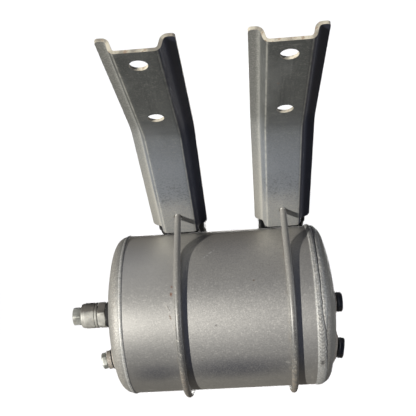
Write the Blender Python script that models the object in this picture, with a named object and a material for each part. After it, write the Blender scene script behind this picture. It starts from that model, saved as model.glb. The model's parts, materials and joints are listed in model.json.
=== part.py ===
"""Compressed air reservoir clamped by two U-bolts to two hat-section brackets.

World frame: +Z up, +X along the tank's axis, +Y towards the chassis rail. The origin is in the
rail face, at the centre of the four chassis bolt holes. The brackets hang straight down from
there, bend forward by a dog-leg, and carry the tank in front of and below the rail.

Lengths are in metres.
"""

import math

import bmesh
import bpy
from mathutils import Matrix, Vector

# Gap between pieces that touch, and the extra length that a cutter runs past a face.
GAP = 0.0003
OVERRUN = 0.002
SHARP_ANGLE = math.radians(35)

# Vessel
SHELL_RADIUS = 0.123
SHELL_WALL = 0.003
SEAM_X = 0.14075
HEAD_HEIGHT = 0.0345
HEAD_WALL = 0.0033
CROWN_RADIUS = 0.380
KNUCKLE_RADIUS = 0.019
SKIRT_LENGTH = 0.012
VESSEL_SEGMENTS = 54
DOME_STEPS = 3
BEAD_SHOULDER = (0.75, 0.7)
GIRTH_WELD_LEFT = {"width": 0.0055, "height": 0.0010}
GIRTH_WELD_RIGHT = {"width": 0.0135, "height": 0.0021}
SEAM_WELD_ANGLE = math.radians(300)
SEAM_WELD_WIDTH = 0.006
SEAM_WELD_HEIGHT = 0.0010
SEAM_WELD_END = 0.008

# Ports. Each boss is square to its head's surface and stands this far proud of it.
PORT_OFFSET = 0.0725
PORT_ANGLE = math.radians(188)
CENTRE_BOSS_PROUD = 0.00265
LOWER_BOSS_PROUD = 0.0032
BOSS_RADIUS = 0.018
BOSS_BORE = 0.0105
BOSS_CHAMFER = 0.001
BOSS_LENGTH = 0.017
STUB_RADIUS = 0.0101
STUB_LENGTH = 0.014
PORT_SEGMENTS = 24
HEX_CHAMFER_ANGLE = math.radians(30)

# Sealing rings under the plugs and the valve
SEAL_INNER = 0.0112
SEAL_OUTER = 0.0150
SEAL_THICKNESS = 0.0015

# Non-return valve in the left head's central port, outward from the boss face. Its thick sealing
# ring also covers the boss.
VALVE_ACROSS_FLATS = 0.038
VALVE_HEX_TURN = math.radians(9)
RING_OUTER = 0.0202
RING_INNER = 0.0183
RING_START = -0.0025
RING_END = 0.0066
ADAPTER_END = 0.0202
BODY_END = 0.0470
BODY_RADIUS = 0.0202
BODY_ROUNDING = 0.0050
BODY_ROUNDING_STEPS = 3
END_NUT_END = 0.0610
END_NUT_ACROSS_FLATS = 0.027
END_NUT_TURN = math.radians(55)
ADAPTER_BORE = 0.0040
CHAMBER_RADIUS = 0.0125
CHAMBER_END = 0.0390
SEAT_BORE = 0.0083
END_STUB_RADIUS = 0.0080
END_STUB_LENGTH = 0.0060
END_NUT_BORE = 0.0050
POPPET_RADIUS = 0.0105
POPPET_THICKNESS = 0.0025
STEM_RADIUS = 0.0022
STEM_LENGTH = 0.0105
SPRING_RADIUS = 0.0058
SPRING_WIRE = 0.0006
SPRING_TURNS = 5
SPRING_STEPS_PER_TURN = 8

# Plugs
PLUG_RIGHT = {"flats": 0.027, "collar": 0.0022, "collar_radius": 0.0158, "height": 0.0082}
PLUG_LEFT = {"flats": 0.022, "collar": 0.0050, "collar_radius": 0.0140, "height": 0.0150}
PLUG_CENTRE_TURN = math.radians(30)
PLUG_RIGHT_LOWER_TURN = math.radians(22)
PLUG_LEFT_LOWER_TURN = math.radians(38)

# Brackets. The lower part is tilted forward from the vertical upper part by DOG_LEG.
DOG_LEG = math.radians(20)
BRACKET_SPACING = 0.160
TANK_OFFSET_X = -0.02275
SHEET = 0.004
HAT_DEPTH = 0.020
CROWN_HALF_WIDTH = 0.0252
BASE_HALF_WIDTH = 0.0292
FLANGE_HALF_WIDTH = 0.0424
CROWN_FOLD_RADIUS = 0.0055
FLANGE_FOLD_RADIUS = 0.0075
FOLD_STEPS = 3
BEND_RADIUS = 0.060
BEND_STEPS = 4
UPPER_LENGTH = 0.207
LOWER_LENGTH = 0.213
HOLE_PITCH = 0.125
HOLE_TO_TOP = 0.026
CHASSIS_HOLE_RADIUS = 0.01025
TOP_CORNER_RADIUS = 0.004
BOTTOM_CORNER_RADIUS = 0.010
CORNER_STEPS = 3
HOLE_SEGMENTS = 24

# Tank position in the brackets' lower part: the crown's front face is this far behind the axis.
CROWN_PLANE_Y = 0.0893
BEND_ABOVE_AXIS = 0.3017

# U-bolts, nuts and washers
ROD_RADIUS = 0.005
ROD_CLEARANCE = 0.001
ROD_ARC_STEPS = 26
ROD_RESOLUTION = 3
LEG_END_Y = 0.127
LEG_HOLE_RADIUS = 0.0062
NUT_ACROSS_FLATS = 0.0165
NUT_HEIGHT = 0.0085
NUT_BORE = 0.0054
WASHER_RADIUS = 0.0105
WASHER_THICKNESS = 0.002
FASTENER_SEGMENTS = 18

# Saddles behind the tank
SADDLE_HALF_WIDTH = 0.0365
SADDLE_BACK_Y = 0.152
SADDLE_TOP_Z = 0.190
SADDLE_TOP_Y = 0.120
SADDLE_KNEE_Z = 0.122
SADDLE_FOOT_Y = 0.134
SADDLE_FOOT_Z = -0.160
LINER_THICKNESS = 0.003
LINER_HALF_WIDTH = 0.026
LINER_HALF_ANGLE = math.radians(36)
CRADLE_THICKNESS = 0.004
CRADLE_HALF_WIDTH = 0.027
CRADLE_HALF_ANGLE = math.radians(32)
CRADLE_STEPS = 10
FOOT_PLATE_TOP_Z = -0.098
FOOT_PLATE_HALF_WIDTH = 0.040

# Worked out from the above
FLANGE_BACK_Y = CROWN_PLANE_Y + HAT_DEPTH
ROD_CENTRE_RADIUS = SHELL_RADIUS + ROD_CLEARANCE + ROD_RADIUS
CRADLE_INNER = SHELL_RADIUS + LINER_THICKNESS + 2 * GAP
CRADLE_OUTER = CRADLE_INNER + CRADLE_THICKNESS
BOLT_ROW_TOP_Z = HOLE_PITCH / 2
TOP_Z = BOLT_ROW_TOP_Z + HOLE_TO_TOP
BEND_Z = TOP_Z - UPPER_LENGTH


def tank_centre():
    """The tank's middle, found from the bracket's bend by going down the tilted lower part."""
    back = Vector((0, CROWN_PLANE_Y, BEND_ABOVE_AXIS))
    bend = Vector((TANK_OFFSET_X, -HAT_DEPTH, BEND_Z))
    return bend - Matrix.Rotation(-DOG_LEG, 3, "X") @ back


def clear_scene():
    for obj in list(bpy.data.objects):
        bpy.data.objects.remove(obj, do_unlink=True)


def make_material(name, colour, metallic, roughness):
    material = bpy.data.materials.new(name)
    material.use_nodes = True
    shader = material.node_tree.nodes["Principled BSDF"]
    shader.inputs["Base Color"].default_value = (*colour, 1.0)
    shader.inputs["Metallic"].default_value = metallic
    shader.inputs["Roughness"].default_value = roughness
    material.diffuse_color = (*colour, 1.0)
    return material


def make_materials():
    return {
        "tank_paint": make_material("tank_paint", (0.17, 0.16, 0.15), 0.0, 0.45),
        "head_paint": make_material("head_paint", (0.16, 0.15, 0.14), 0.0, 0.45),
        "weld_metal": make_material("weld_metal", (0.15, 0.14, 0.13), 0.0, 0.55),
        "boss_steel": make_material("boss_steel", (0.13, 0.12, 0.11), 0.2, 0.55),
        "bracket_paint": make_material("bracket_paint", (0.11, 0.12, 0.12), 0.0, 0.5),
        "saddle_paint": make_material("saddle_paint", (0.06, 0.06, 0.065), 0.0, 0.6),
        "rod_steel": make_material("rod_steel", (0.13, 0.13, 0.12), 0.3, 0.5),
        "fastener_zinc": make_material("fastener_zinc", (0.42, 0.41, 0.38), 1.0, 0.4),
        "valve_metal": make_material("valve_metal", (0.20, 0.19, 0.17), 0.9, 0.45),
        "valve_brass": make_material("valve_brass", (0.55, 0.42, 0.20), 1.0, 0.35),
        "spring_steel": make_material("spring_steel", (0.50, 0.50, 0.50), 1.0, 0.3),
        "plug_black": make_material("plug_black", (0.03, 0.03, 0.035), 0.1, 0.45),
        "seal_rubber": make_material("seal_rubber", (0.02, 0.02, 0.02), 0.0, 0.7),
    }


def finish_object(name, mesh, material, parent):
    mesh.materials.append(material)
    mesh.shade_smooth()
    mesh.set_sharp_from_angle(angle=SHARP_ANGLE)
    obj = bpy.data.objects.new(name, mesh)
    bpy.context.scene.collection.objects.link(obj)
    obj.parent = parent
    return obj


def mesh_from(name, bm):
    bmesh.ops.recalc_face_normals(bm, faces=bm.faces)
    mesh = bpy.data.meshes.new(name)
    bm.to_mesh(mesh)
    bm.free()
    return mesh


def turned_mesh(name, outline, segments):
    """A solid of revolution about X from a closed outline of (x, radius) points."""
    bm = bmesh.new()
    rings = []
    for x, radius in outline:
        if radius == 0:
            rings.append([bm.verts.new((x, 0, 0))] * segments)
            continue
        ring = []
        for step in range(segments):
            angle = 2 * math.pi * step / segments
            ring.append(bm.verts.new((x, radius * math.cos(angle), radius * math.sin(angle))))
        rings.append(ring)
    for first, second in zip(rings, rings[1:] + rings[:1]):
        for step in range(segments):
            after = (step + 1) % segments
            corners = [first[step], first[after], second[after], second[step]]
            distinct = list(dict.fromkeys(corners))
            if len(distinct) > 2:
                bm.faces.new(distinct)
    return mesh_from(name, bm)


def prism_mesh(name, outline, axis, low, high):
    """A straight extrusion of a closed outline, along X (outline in Y, Z) or Y (outline in X, Z)."""
    bm = bmesh.new()
    base = []
    for u, v in outline:
        base.append(bm.verts.new((low, u, v) if axis == "X" else (u, low, v)))
    face = bm.faces.new(base)
    travel = Vector((high - low, 0, 0)) if axis == "X" else Vector((0, high - low, 0))
    grown = bmesh.ops.extrude_face_region(bm, geom=[face])["geom"]
    moved = [item for item in grown if isinstance(item, bmesh.types.BMVert)]
    bmesh.ops.translate(bm, verts=moved, vec=travel)
    return mesh_from(name, bm)


def arc_points(centre, radius, start, end, steps):
    points = []
    for step in range(steps + 1):
        angle = start + (end - start) * step / steps
        points.append((centre[0] + radius * math.cos(angle), centre[1] + radius * math.sin(angle)))
    return points


def add_cutter(obj, mesh, place=Matrix.Identity(4)):
    """Cuts a mesh out of obj. place puts the mesh in obj's own frame."""
    cutter = bpy.data.objects.new(f"{obj.name}_cutter", mesh)
    bpy.context.scene.collection.objects.link(cutter)
    cutter.parent = obj
    cutter.matrix_basis = place
    cutter.hide_render = True
    cutter.display_type = "WIRE"
    boolean = obj.modifiers.new("cut", "BOOLEAN")
    boolean.operation = "DIFFERENCE"
    boolean.object = cutter


def drill_mesh(name, low, high, radius):
    outline = [(low, 0), (low, radius), (high, radius), (high, 0)]
    return turned_mesh(name, outline, HOLE_SEGMENTS)


def along_y(x, y, z):
    """A place whose +X points along +Y, for what is turned about X."""
    return Matrix.Translation((x, y, z)) @ Matrix.Rotation(math.pi / 2, 4, "Z")


def hexagon(across_flats, turn):
    corner = across_flats / math.sqrt(3)
    angles = [turn + math.pi / 3 * side for side in range(6)]
    return [(corner * math.cos(angle), corner * math.sin(angle)) for angle in angles]


def chamfered_hex_outline(low, high, across_flats, low_chamfer, high_chamfer):
    """Outer half of a turned blank, whose chamfers cut back a hexagon's corners."""
    corner = across_flats / math.sqrt(3) + GAP
    face = across_flats / 2 - GAP
    depth = (corner - face) * math.tan(HEX_CHAMFER_ANGLE)
    points = [(low, face), (low + depth, corner)] if low_chamfer else [(low, corner)]
    points += [(high - depth, corner), (high, face)] if high_chamfer else [(high, corner)]
    return points


def hex_sleeve_mesh(name, across_flats, turn, low, high):
    """A thick tube with a hexagonal hole, which cuts a turned blank down to a hexagon."""
    bm = bmesh.new()
    wide = 2 * across_flats
    loops = []
    for x, size in ((low, across_flats), (high, across_flats), (high, wide), (low, wide)):
        loops.append([bm.verts.new((x, y, z)) for y, z in hexagon(size, turn)])
    for first, second in zip(loops, loops[1:] + loops[:1]):
        for side in range(6):
            after = (side + 1) % 6
            bm.faces.new((first[side], first[after], second[after], second[side]))
    return mesh_from(name, bm)


def add_hex_piece(name, outline, across_flats, turn, span, material, parent):
    """A turned blank, cut to a hexagon of across_flats between the two ends of span."""
    obj = finish_object(name, turned_mesh(name, outline, PORT_SEGMENTS), material, parent)
    add_cutter(obj, hex_sleeve_mesh(f"{name}_sleeve", across_flats, turn, *span))
    return obj


# ---------------------------------------------------------------- vessel


def dome_half(inset, radius):
    """Outer (inset 0) or inner wall of a head, from its shoulder to the axis, as (x, radius)."""
    knuckle = KNUCKLE_RADIUS - inset
    crown = CROWN_RADIUS - inset
    apex = SEAM_X + HEAD_HEIGHT - inset
    lean = math.asin((SHELL_RADIUS - KNUCKLE_RADIUS) / (CROWN_RADIUS - KNUCKLE_RADIUS))
    centre_r = SHELL_RADIUS - KNUCKLE_RADIUS
    centre_x = apex + inset - CROWN_RADIUS + (CROWN_RADIUS - KNUCKLE_RADIUS) * math.cos(lean)
    points = []
    for x, r in arc_points((centre_x, centre_r), knuckle, math.pi / 2, lean, DOME_STEPS):
        points.append((x, min(r, radius)))
    for x, r in arc_points((apex - crown, 0), crown, lean, 0, DOME_STEPS)[1:]:
        points.append((x, 0 if r < GAP / 10 else r))
    return points


def head_outline():
    skirt_outer = SHELL_RADIUS - SHELL_WALL - GAP
    skirt_inner = skirt_outer - HEAD_WALL
    shoulder = SEAM_X + GAP / 2
    skirt_end = SEAM_X - SKIRT_LENGTH
    outer = [(skirt_end, skirt_outer), (shoulder, skirt_outer), (shoulder, SHELL_RADIUS)]
    inner = dome_half(HEAD_WALL, skirt_inner)[::-1]
    return outer + dome_half(0, SHELL_RADIUS) + inner + [(skirt_end, skirt_inner)]


def mirrored(outline):
    return [(-x, radius) for x, radius in outline]


def port_place(side, offset):
    """The place of a boss's outer face, with +X pointing out of the head and square to it."""
    lean = math.asin(offset / CROWN_RADIUS)
    proud = LOWER_BOSS_PROUD if offset else CENTRE_BOSS_PROUD
    crown_centre = side * (SEAM_X + HEAD_HEIGHT - CROWN_RADIUS)
    around = Matrix.Rotation(PORT_ANGLE if offset else 0, 4, "X")
    outward = Matrix.Rotation(lean if side > 0 else math.pi - lean, 4, "Z")
    reach = Matrix.Translation((CROWN_RADIUS + proud, 0, 0))
    return Matrix.Translation((crown_centre, 0, 0)) @ around @ outward @ reach


def add_head(name, side, material, parent):
    outline = head_outline() if side > 0 else mirrored(head_outline())
    obj = finish_object(name, turned_mesh(name, outline, VESSEL_SEGMENTS), material, parent)
    drill = drill_mesh(f"{name}_drill", -BOSS_LENGTH, OVERRUN, BOSS_RADIUS + GAP)
    for offset in (0, PORT_OFFSET):
        add_cutter(obj, drill, port_place(side, offset))


def add_shell(material, parent):
    end = SEAM_X - GAP / 2
    inner = SHELL_RADIUS - SHELL_WALL
    outline = [(-end, inner), (-end, SHELL_RADIUS), (end, SHELL_RADIUS), (end, inner)]
    finish_object("shell", turned_mesh("shell", outline, VESSEL_SEGMENTS), material, parent)


def bead_outline(width, height):
    """Section of a weld bead as (across, up)."""
    half = width / 2
    side, shoulder = BEAD_SHOULDER
    return [
        (-half, 0),
        (-half * side, height * shoulder),
        (0, height),
        (half * side, height * shoulder),
        (half, 0),
    ]


def add_girth_weld(name, side, bead, material, parent):
    """A low crowned ring over the joint between shell and head."""
    outline = []
    for across, up in bead_outline(bead["width"], bead["height"]):
        outline.append((side * SEAM_X + across, SHELL_RADIUS + GAP + up))
    finish_object(name, turned_mesh(name, outline, VESSEL_SEGMENTS), material, parent)


def add_seam_weld(material, parent):
    """The lengthwise bead of the rolled shell, low and flat, ending short of the girth welds."""
    outline = []
    for across, up in bead_outline(SEAM_WELD_WIDTH, SEAM_WELD_HEIGHT):
        outline.append((SHELL_RADIUS + GAP + up, across))
    end = SEAM_X - SEAM_WELD_END
    mesh = prism_mesh("seam_weld", outline, "X", -end, end)
    obj = finish_object("seam_weld", mesh, material, parent)
    obj.rotation_euler = (SEAM_WELD_ANGLE, 0, 0)


# ---------------------------------------------------------------- ports


def add_port_frame(name, side, offset, parent):
    empty = bpy.data.objects.new(name, None)
    bpy.context.scene.collection.objects.link(empty)
    empty.parent = parent
    empty.matrix_basis = port_place(side, offset)
    return empty


def add_boss(name, material, port):
    edge = BOSS_RADIUS - BOSS_CHAMFER
    outline = [
        (-BOSS_LENGTH, BOSS_BORE),
        (-BOSS_LENGTH, BOSS_RADIUS),
        (-BOSS_CHAMFER, BOSS_RADIUS),
        (0, edge),
        (0, BOSS_BORE),
    ]
    finish_object(name, turned_mesh(name, outline, PORT_SEGMENTS), material, port)


def add_seal(name, material, port):
    low = GAP
    high = GAP + SEAL_THICKNESS
    outline = [(low, SEAL_INNER), (low, SEAL_OUTER), (high, SEAL_OUTER), (high, SEAL_INNER)]
    finish_object(name, turned_mesh(name, outline, PORT_SEGMENTS), material, port)


def add_valve_ring(material, port):
    """The valve's thick sealing ring, whose skirt covers the boss."""
    outline = [
        (RING_START, RING_INNER),
        (RING_START, RING_OUTER),
        (RING_END, RING_OUTER),
        (RING_END, SEAL_INNER),
        (GAP, SEAL_INNER),
        (GAP, RING_INNER),
    ]
    finish_object("valve_seal", turned_mesh("valve_seal", outline, PORT_SEGMENTS), material, port)


def add_plug(name, size, turn, material, port):
    """Threaded stub, collar and hexagon head, in one piece."""
    collar_low = 2 * GAP + SEAL_THICKNESS
    collar_high = collar_low + size["collar"]
    high = collar_low + size["height"]
    outline = [(-STUB_LENGTH, 0), (-STUB_LENGTH, STUB_RADIUS), (collar_low, STUB_RADIUS)]
    outline += [(collar_low, size["collar_radius"]), (collar_high, size["collar_radius"])]
    outline += chamfered_hex_outline(collar_high, high, size["flats"], False, True)
    outline += [(high, 0)]
    span = (collar_high, high + OVERRUN)
    add_hex_piece(name, outline, size["flats"], turn, span, material, port)


def add_valve_adapter(material, port):
    """Threaded stub and the hexagon that tightens it against the sealing ring."""
    low = RING_END + GAP
    flats = VALVE_ACROSS_FLATS
    outline = [(-STUB_LENGTH, ADAPTER_BORE), (-STUB_LENGTH, STUB_RADIUS), (low, STUB_RADIUS)]
    outline += chamfered_hex_outline(low, ADAPTER_END, flats, True, True)
    outline += [(ADAPTER_END, ADAPTER_BORE)]
    span = (low, ADAPTER_END + OVERRUN)
    add_hex_piece("valve_adapter", outline, flats, VALVE_HEX_TURN, span, material, port)


def add_valve_body(material, port):
    """Round body: the spring's chamber, and beyond it the bore that the poppet closes."""
    low = ADAPTER_END + GAP
    outline = [(low, CHAMBER_RADIUS), (low, BODY_RADIUS)]
    centre = (BODY_END - BODY_ROUNDING, BODY_RADIUS - BODY_ROUNDING)
    outline += arc_points(centre, BODY_ROUNDING, math.pi / 2, 0, BODY_ROUNDING_STEPS)
    outline += [(BODY_END, SEAT_BORE), (CHAMBER_END, SEAT_BORE), (CHAMBER_END, CHAMBER_RADIUS)]
    finish_object("valve_body", turned_mesh("valve_body", outline, PORT_SEGMENTS), material, port)


def add_end_nut(material, port):
    low = BODY_END + GAP
    flats = END_NUT_ACROSS_FLATS
    outline = [(low - END_STUB_LENGTH, END_NUT_BORE), (low - END_STUB_LENGTH, END_STUB_RADIUS)]
    outline += [(low, END_STUB_RADIUS)]
    outline += chamfered_hex_outline(low, END_NUT_END, flats, True, True)
    outline += [(END_NUT_END, END_NUT_BORE)]
    span = (low, END_NUT_END + OVERRUN)
    add_hex_piece("valve_end_nut", outline, flats, END_NUT_TURN, span, material, port)


def add_poppet_and_spring(materials, port):
    seat = CHAMBER_END - GAP
    back = seat - POPPET_THICKNESS
    outline = [(back - STEM_LENGTH, 0), (back - STEM_LENGTH, STEM_RADIUS), (back, STEM_RADIUS)]
    outline += [(back, POPPET_RADIUS), (seat, POPPET_RADIUS), (seat, 0)]
    mesh = turned_mesh("valve_poppet", outline, PORT_SEGMENTS)
    finish_object("valve_poppet", mesh, materials["valve_brass"], port)
    clearance = SPRING_WIRE + GAP
    add_spring(ADAPTER_END + clearance, back - clearance, materials["spring_steel"], port)


def add_round_bar(name, points, radius, resolution, material, parent):
    curve = bpy.data.curves.new(name, "CURVE")
    curve.dimensions = "3D"
    curve.bevel_depth = radius
    curve.bevel_resolution = resolution
    curve.use_fill_caps = True
    spline = curve.splines.new("POLY")
    spline.points.add(len(points) - 1)
    for point, place in zip(spline.points, points):
        point.co = (*place, 1)
    curve.materials.append(material)
    obj = bpy.data.objects.new(name, curve)
    bpy.context.scene.collection.objects.link(obj)
    obj.parent = parent


def add_spring(low, high, material, port):
    total = SPRING_TURNS * SPRING_STEPS_PER_TURN
    points = []
    for step in range(total + 1):
        angle = 2 * math.pi * step / SPRING_STEPS_PER_TURN
        along = low + (high - low) * step / total
        points.append((along, SPRING_RADIUS * math.cos(angle), SPRING_RADIUS * math.sin(angle)))
    add_round_bar("valve_spring", points, SPRING_WIRE, 1, material, port)


def add_ports(materials, tank):
    rubber = materials["seal_rubber"]
    zinc = materials["fastener_zinc"]
    black = materials["plug_black"]
    valve_port = add_port_frame("left_centre_port", -1, 0, tank)
    add_boss("port_boss_left_centre", materials["boss_steel"], valve_port)
    add_valve_ring(rubber, valve_port)
    add_valve_adapter(materials["valve_metal"], valve_port)
    add_valve_body(materials["valve_metal"], valve_port)
    add_end_nut(zinc, valve_port)
    add_poppet_and_spring(materials, valve_port)
    for name, side, offset, size, turn, finish in (
        ("left_lower", -1, PORT_OFFSET, PLUG_LEFT, PLUG_LEFT_LOWER_TURN, zinc),
        ("right_centre", 1, 0, PLUG_RIGHT, PLUG_CENTRE_TURN, black),
        ("right_lower", 1, PORT_OFFSET, PLUG_RIGHT, PLUG_RIGHT_LOWER_TURN, black),
    ):
        port = add_port_frame(f"{name}_port", side, offset, tank)
        add_boss(f"port_boss_{name}", materials["boss_steel"], port)
        add_seal(f"plug_seal_{name}", rubber, port)
        add_plug(f"plug_{name}", size, turn, finish, port)


# ---------------------------------------------------------------- brackets


def filleted(points, radii, steps):
    """An open line through points, with each inner corner rounded by an arc of its own radius."""
    path = [Vector(points[0])]
    for before, corner, after, radius in zip(points, points[1:], points[2:], radii):
        corner = Vector(corner)
        towards = (Vector(before) - corner).normalized()
        away = (Vector(after) - corner).normalized()
        half = towards.angle(away) / 2
        start = corner + towards * radius / math.tan(half)
        end = corner + away * radius / math.tan(half)
        centre = corner + (towards + away).normalized() * radius / math.sin(half)
        first = start - centre
        turn = first.angle_signed(end - centre)
        for step in range(steps + 1):
            path.append(centre + Matrix.Rotation(-turn * step / steps, 2) @ first)
    path.append(Vector(points[-1]))
    return path


def offset_line(path, distance):
    moved = []
    for index, point in enumerate(path):
        before = path[max(index - 1, 0)]
        after = path[min(index + 1, len(path) - 1)]
        along = (after - before).normalized()
        moved.append(point + Vector((-along.y, along.x)) * distance)
    return moved


def hat_section():
    """Closed outline of the pressed sheet as (across, depth); depth 0 is the crown's front face."""
    middle_front = SHEET / 2
    middle_back = HAT_DEPTH - SHEET / 2
    half_line = [
        (FLANGE_HALF_WIDTH, middle_back),
        (BASE_HALF_WIDTH, middle_back),
        (CROWN_HALF_WIDTH, middle_front),
    ]
    corners = [(-x, y) for x, y in half_line] + half_line[::-1]
    radii = [FLANGE_FOLD_RADIUS, CROWN_FOLD_RADIUS, CROWN_FOLD_RADIUS, FLANGE_FOLD_RADIUS]
    middle = filleted(corners, radii, FOLD_STEPS)
    return offset_line(middle, SHEET / 2) + offset_line(middle, -SHEET / 2)[::-1]


def bend_stations():
    """Places up the bracket, from its lower to its upper end, as (y, z, lean from vertical).

    They follow the line of the crown's front face, whose bend is an arc with its centre in front."""
    bend_y = -HAT_DEPTH
    setback = BEND_RADIUS * math.tan(DOG_LEG / 2)
    centre_y = bend_y - BEND_RADIUS
    centre_z = BEND_Z + setback
    low_y = bend_y - LOWER_LENGTH * math.sin(DOG_LEG)
    low_z = BEND_Z - LOWER_LENGTH * math.cos(DOG_LEG)
    stations = [(low_y, low_z, DOG_LEG)]
    for step in range(BEND_STEPS + 1):
        lean = DOG_LEG * (1 - step / BEND_STEPS)
        y = centre_y + BEND_RADIUS * math.cos(lean)
        z = centre_z - BEND_RADIUS * math.sin(lean)
        stations.append((y, z, lean))
    stations.append((bend_y, TOP_Z, 0))
    return stations


def bracket_mesh(name):
    """The hat section carried along the dog-leg, with flat ends."""
    section = hat_section()
    bm = bmesh.new()
    loops = []
    for y, z, lean in bend_stations():
        loop = []
        for across, depth in section:
            loop.append(bm.verts.new((across, y + depth * math.cos(lean), z - depth * math.sin(lean))))
        loops.append(loop)
    for first, second in zip(loops, loops[1:]):
        for index in range(len(section)):
            after = (index + 1) % len(section)
            bm.faces.new((first[index], first[after], second[after], second[index]))
    bm.faces.new(loops[0])
    bm.faces.new(loops[-1])
    return mesh_from(name, bm)


def corner_outline(side, end_z, inward, radius):
    """The scrap outside a rounded flange corner, in X and Z. inward is +1 if the sheet is above."""
    edge = FLANGE_HALF_WIDTH
    centre = (side * (edge - radius), end_z + inward * radius)
    start = math.pi / 2 * (1 - side)
    points = []
    for step in range(CORNER_STEPS + 1):
        angle = start - side * inward * math.pi / 2 * step / CORNER_STEPS
        points.append((centre[0] + radius * math.cos(angle), centre[1] + radius * math.sin(angle)))
    beyond = end_z - inward * OVERRUN
    points.append((centre[0], beyond))
    points.append((side * (edge + OVERRUN), beyond))
    points.append((side * (edge + OVERRUN), centre[1]))
    return points


def tilted_place():
    """From the tank's own directions, centred on its axis, to the bracket's frame."""
    centre = tank_centre()
    return Matrix.Translation((0, centre.y, centre.z)) @ Matrix.Rotation(-DOG_LEG, 4, "X")


def add_bracket(name, material, frame):
    obj = finish_object(name, bracket_mesh(name), material, frame)
    drill = drill_mesh(f"{name}_drill", -HAT_DEPTH, HAT_DEPTH, CHASSIS_HOLE_RADIUS)
    for z in (BOLT_ROW_TOP_Z, BOLT_ROW_TOP_Z - HOLE_PITCH):
        add_cutter(obj, drill, along_y(0, -HAT_DEPTH, z))
    leg_drill = drill_mesh(f"{name}_leg_drill", -SHEET, 2 * SHEET, LEG_HOLE_RADIUS)
    add_cutter(obj, leg_drill, tilted_place() @ along_y(0, CROWN_PLANE_Y, ROD_CENTRE_RADIUS))
    for side in (-1, 1):
        outline = corner_outline(side, TOP_Z, -1, TOP_CORNER_RADIUS)
        add_cutter(obj, prism_mesh(f"{name}_top_corner", outline, "Y", -HAT_DEPTH, OVERRUN))
        low_z = BEND_ABOVE_AXIS - LOWER_LENGTH
        outline = corner_outline(side, low_z, 1, BOTTOM_CORNER_RADIUS)
        back = FLANGE_BACK_Y + OVERRUN
        corner = prism_mesh(f"{name}_low_corner", outline, "Y", CROWN_PLANE_Y, back)
        add_cutter(obj, corner, tilted_place())


# ---------------------------------------------------------------- clamps


def add_saddle(name, material, frame):
    """A folded channel: two webs cut to the cradle's curve, and a back that joins them."""
    front = FLANGE_BACK_Y + GAP
    radius = CRADLE_OUTER + GAP
    reach = math.acos(front / radius)
    back = [
        (SADDLE_TOP_Y, SADDLE_TOP_Z),
        (SADDLE_BACK_Y, SADDLE_KNEE_Z),
        (SADDLE_BACK_Y, -SADDLE_KNEE_Z),
        (SADDLE_FOOT_Y, SADDLE_FOOT_Z),
    ]
    outline = [(front, SADDLE_TOP_Z)] + back + [(front, SADDLE_FOOT_Z)]
    outline += arc_points((0, 0), radius, -reach, reach, CRADLE_STEPS)
    mesh = prism_mesh(name, outline, "X", -SADDLE_HALF_WIDTH, SADDLE_HALF_WIDTH)
    obj = finish_object(name, mesh, material, frame)
    inside = offset_line([Vector(point) for point in back], -SHEET)
    inside[0] += (inside[0] - inside[1]).normalized() * SADDLE_BACK_Y
    inside[-1] += (inside[-1] - inside[-2]).normalized() * SADDLE_BACK_Y
    room = [tuple(point) for point in inside] + [(0, inside[-1].y), (0, inside[0].y)]
    half = SADDLE_HALF_WIDTH - SHEET
    add_cutter(obj, prism_mesh(f"{name}_room", room, "X", -half, half))


def add_curved_plate(name, inner, thickness, half_angle, half_width, material, frame):
    """A strip bent round the tank's back."""
    outline = arc_points((0, 0), inner, -half_angle, half_angle, CRADLE_STEPS)
    outline += arc_points((0, 0), inner + thickness, half_angle, -half_angle, CRADLE_STEPS)
    finish_object(name, prism_mesh(name, outline, "X", -half_width, half_width), material, frame)


def add_foot_plate(name, material, frame):
    half = FOOT_PLATE_HALF_WIDTH
    corner = TOP_CORNER_RADIUS
    outline = []
    for x, z, start in (
        (half - corner, FOOT_PLATE_TOP_Z - corner, 0),
        (corner - half, FOOT_PLATE_TOP_Z - corner, math.pi / 2),
        (corner - half, SADDLE_FOOT_Z + corner, math.pi),
        (half - corner, SADDLE_FOOT_Z + corner, math.pi * 3 / 2),
    ):
        outline += arc_points((x, z), corner, start, start + math.pi / 2, CORNER_STEPS)
    low = FLANGE_BACK_Y - SHEET
    obj = finish_object(name, prism_mesh(name, outline, "Y", low, FLANGE_BACK_Y), material, frame)
    drill = drill_mesh(f"{name}_drill", -SHEET, 2 * SHEET, LEG_HOLE_RADIUS)
    add_cutter(obj, drill, along_y(0, low, -ROD_CENTRE_RADIUS))


def add_u_bolt(name, material, frame):
    radius = ROD_CENTRE_RADIUS
    points = [(0, LEG_END_Y, radius)]
    for y, z in arc_points((0, 0), radius, math.pi / 2, math.pi * 3 / 2, ROD_ARC_STEPS):
        points.append((0, y, z))
    points.append((0, LEG_END_Y, -radius))
    add_round_bar(name, points, ROD_RADIUS, ROD_RESOLUTION, material, frame)


def add_nut_and_washer(label, z, seat_y, material, frame):
    """A washer against seat_y and a nut behind it, both along the U-bolt's leg."""
    outline = [(0, NUT_BORE), (0, WASHER_RADIUS)]
    outline += [(WASHER_THICKNESS, WASHER_RADIUS), (WASHER_THICKNESS, NUT_BORE)]
    mesh = turned_mesh(f"washer_{label}", outline, FASTENER_SEGMENTS)
    washer = finish_object(f"washer_{label}", mesh, material, frame)
    washer.matrix_basis = along_y(0, seat_y + GAP, z)
    flats = NUT_ACROSS_FLATS
    outline = [(0, NUT_BORE)]
    outline += chamfered_hex_outline(0, NUT_HEIGHT, flats, True, True)
    outline += [(NUT_HEIGHT, NUT_BORE)]
    span = (-OVERRUN, NUT_HEIGHT + OVERRUN)
    nut = add_hex_piece(f"nut_{label}", outline, flats, math.pi / 2, span, material, frame)
    nut.matrix_basis = along_y(0, seat_y + WASHER_THICKNESS + 2 * GAP, z)


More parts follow.
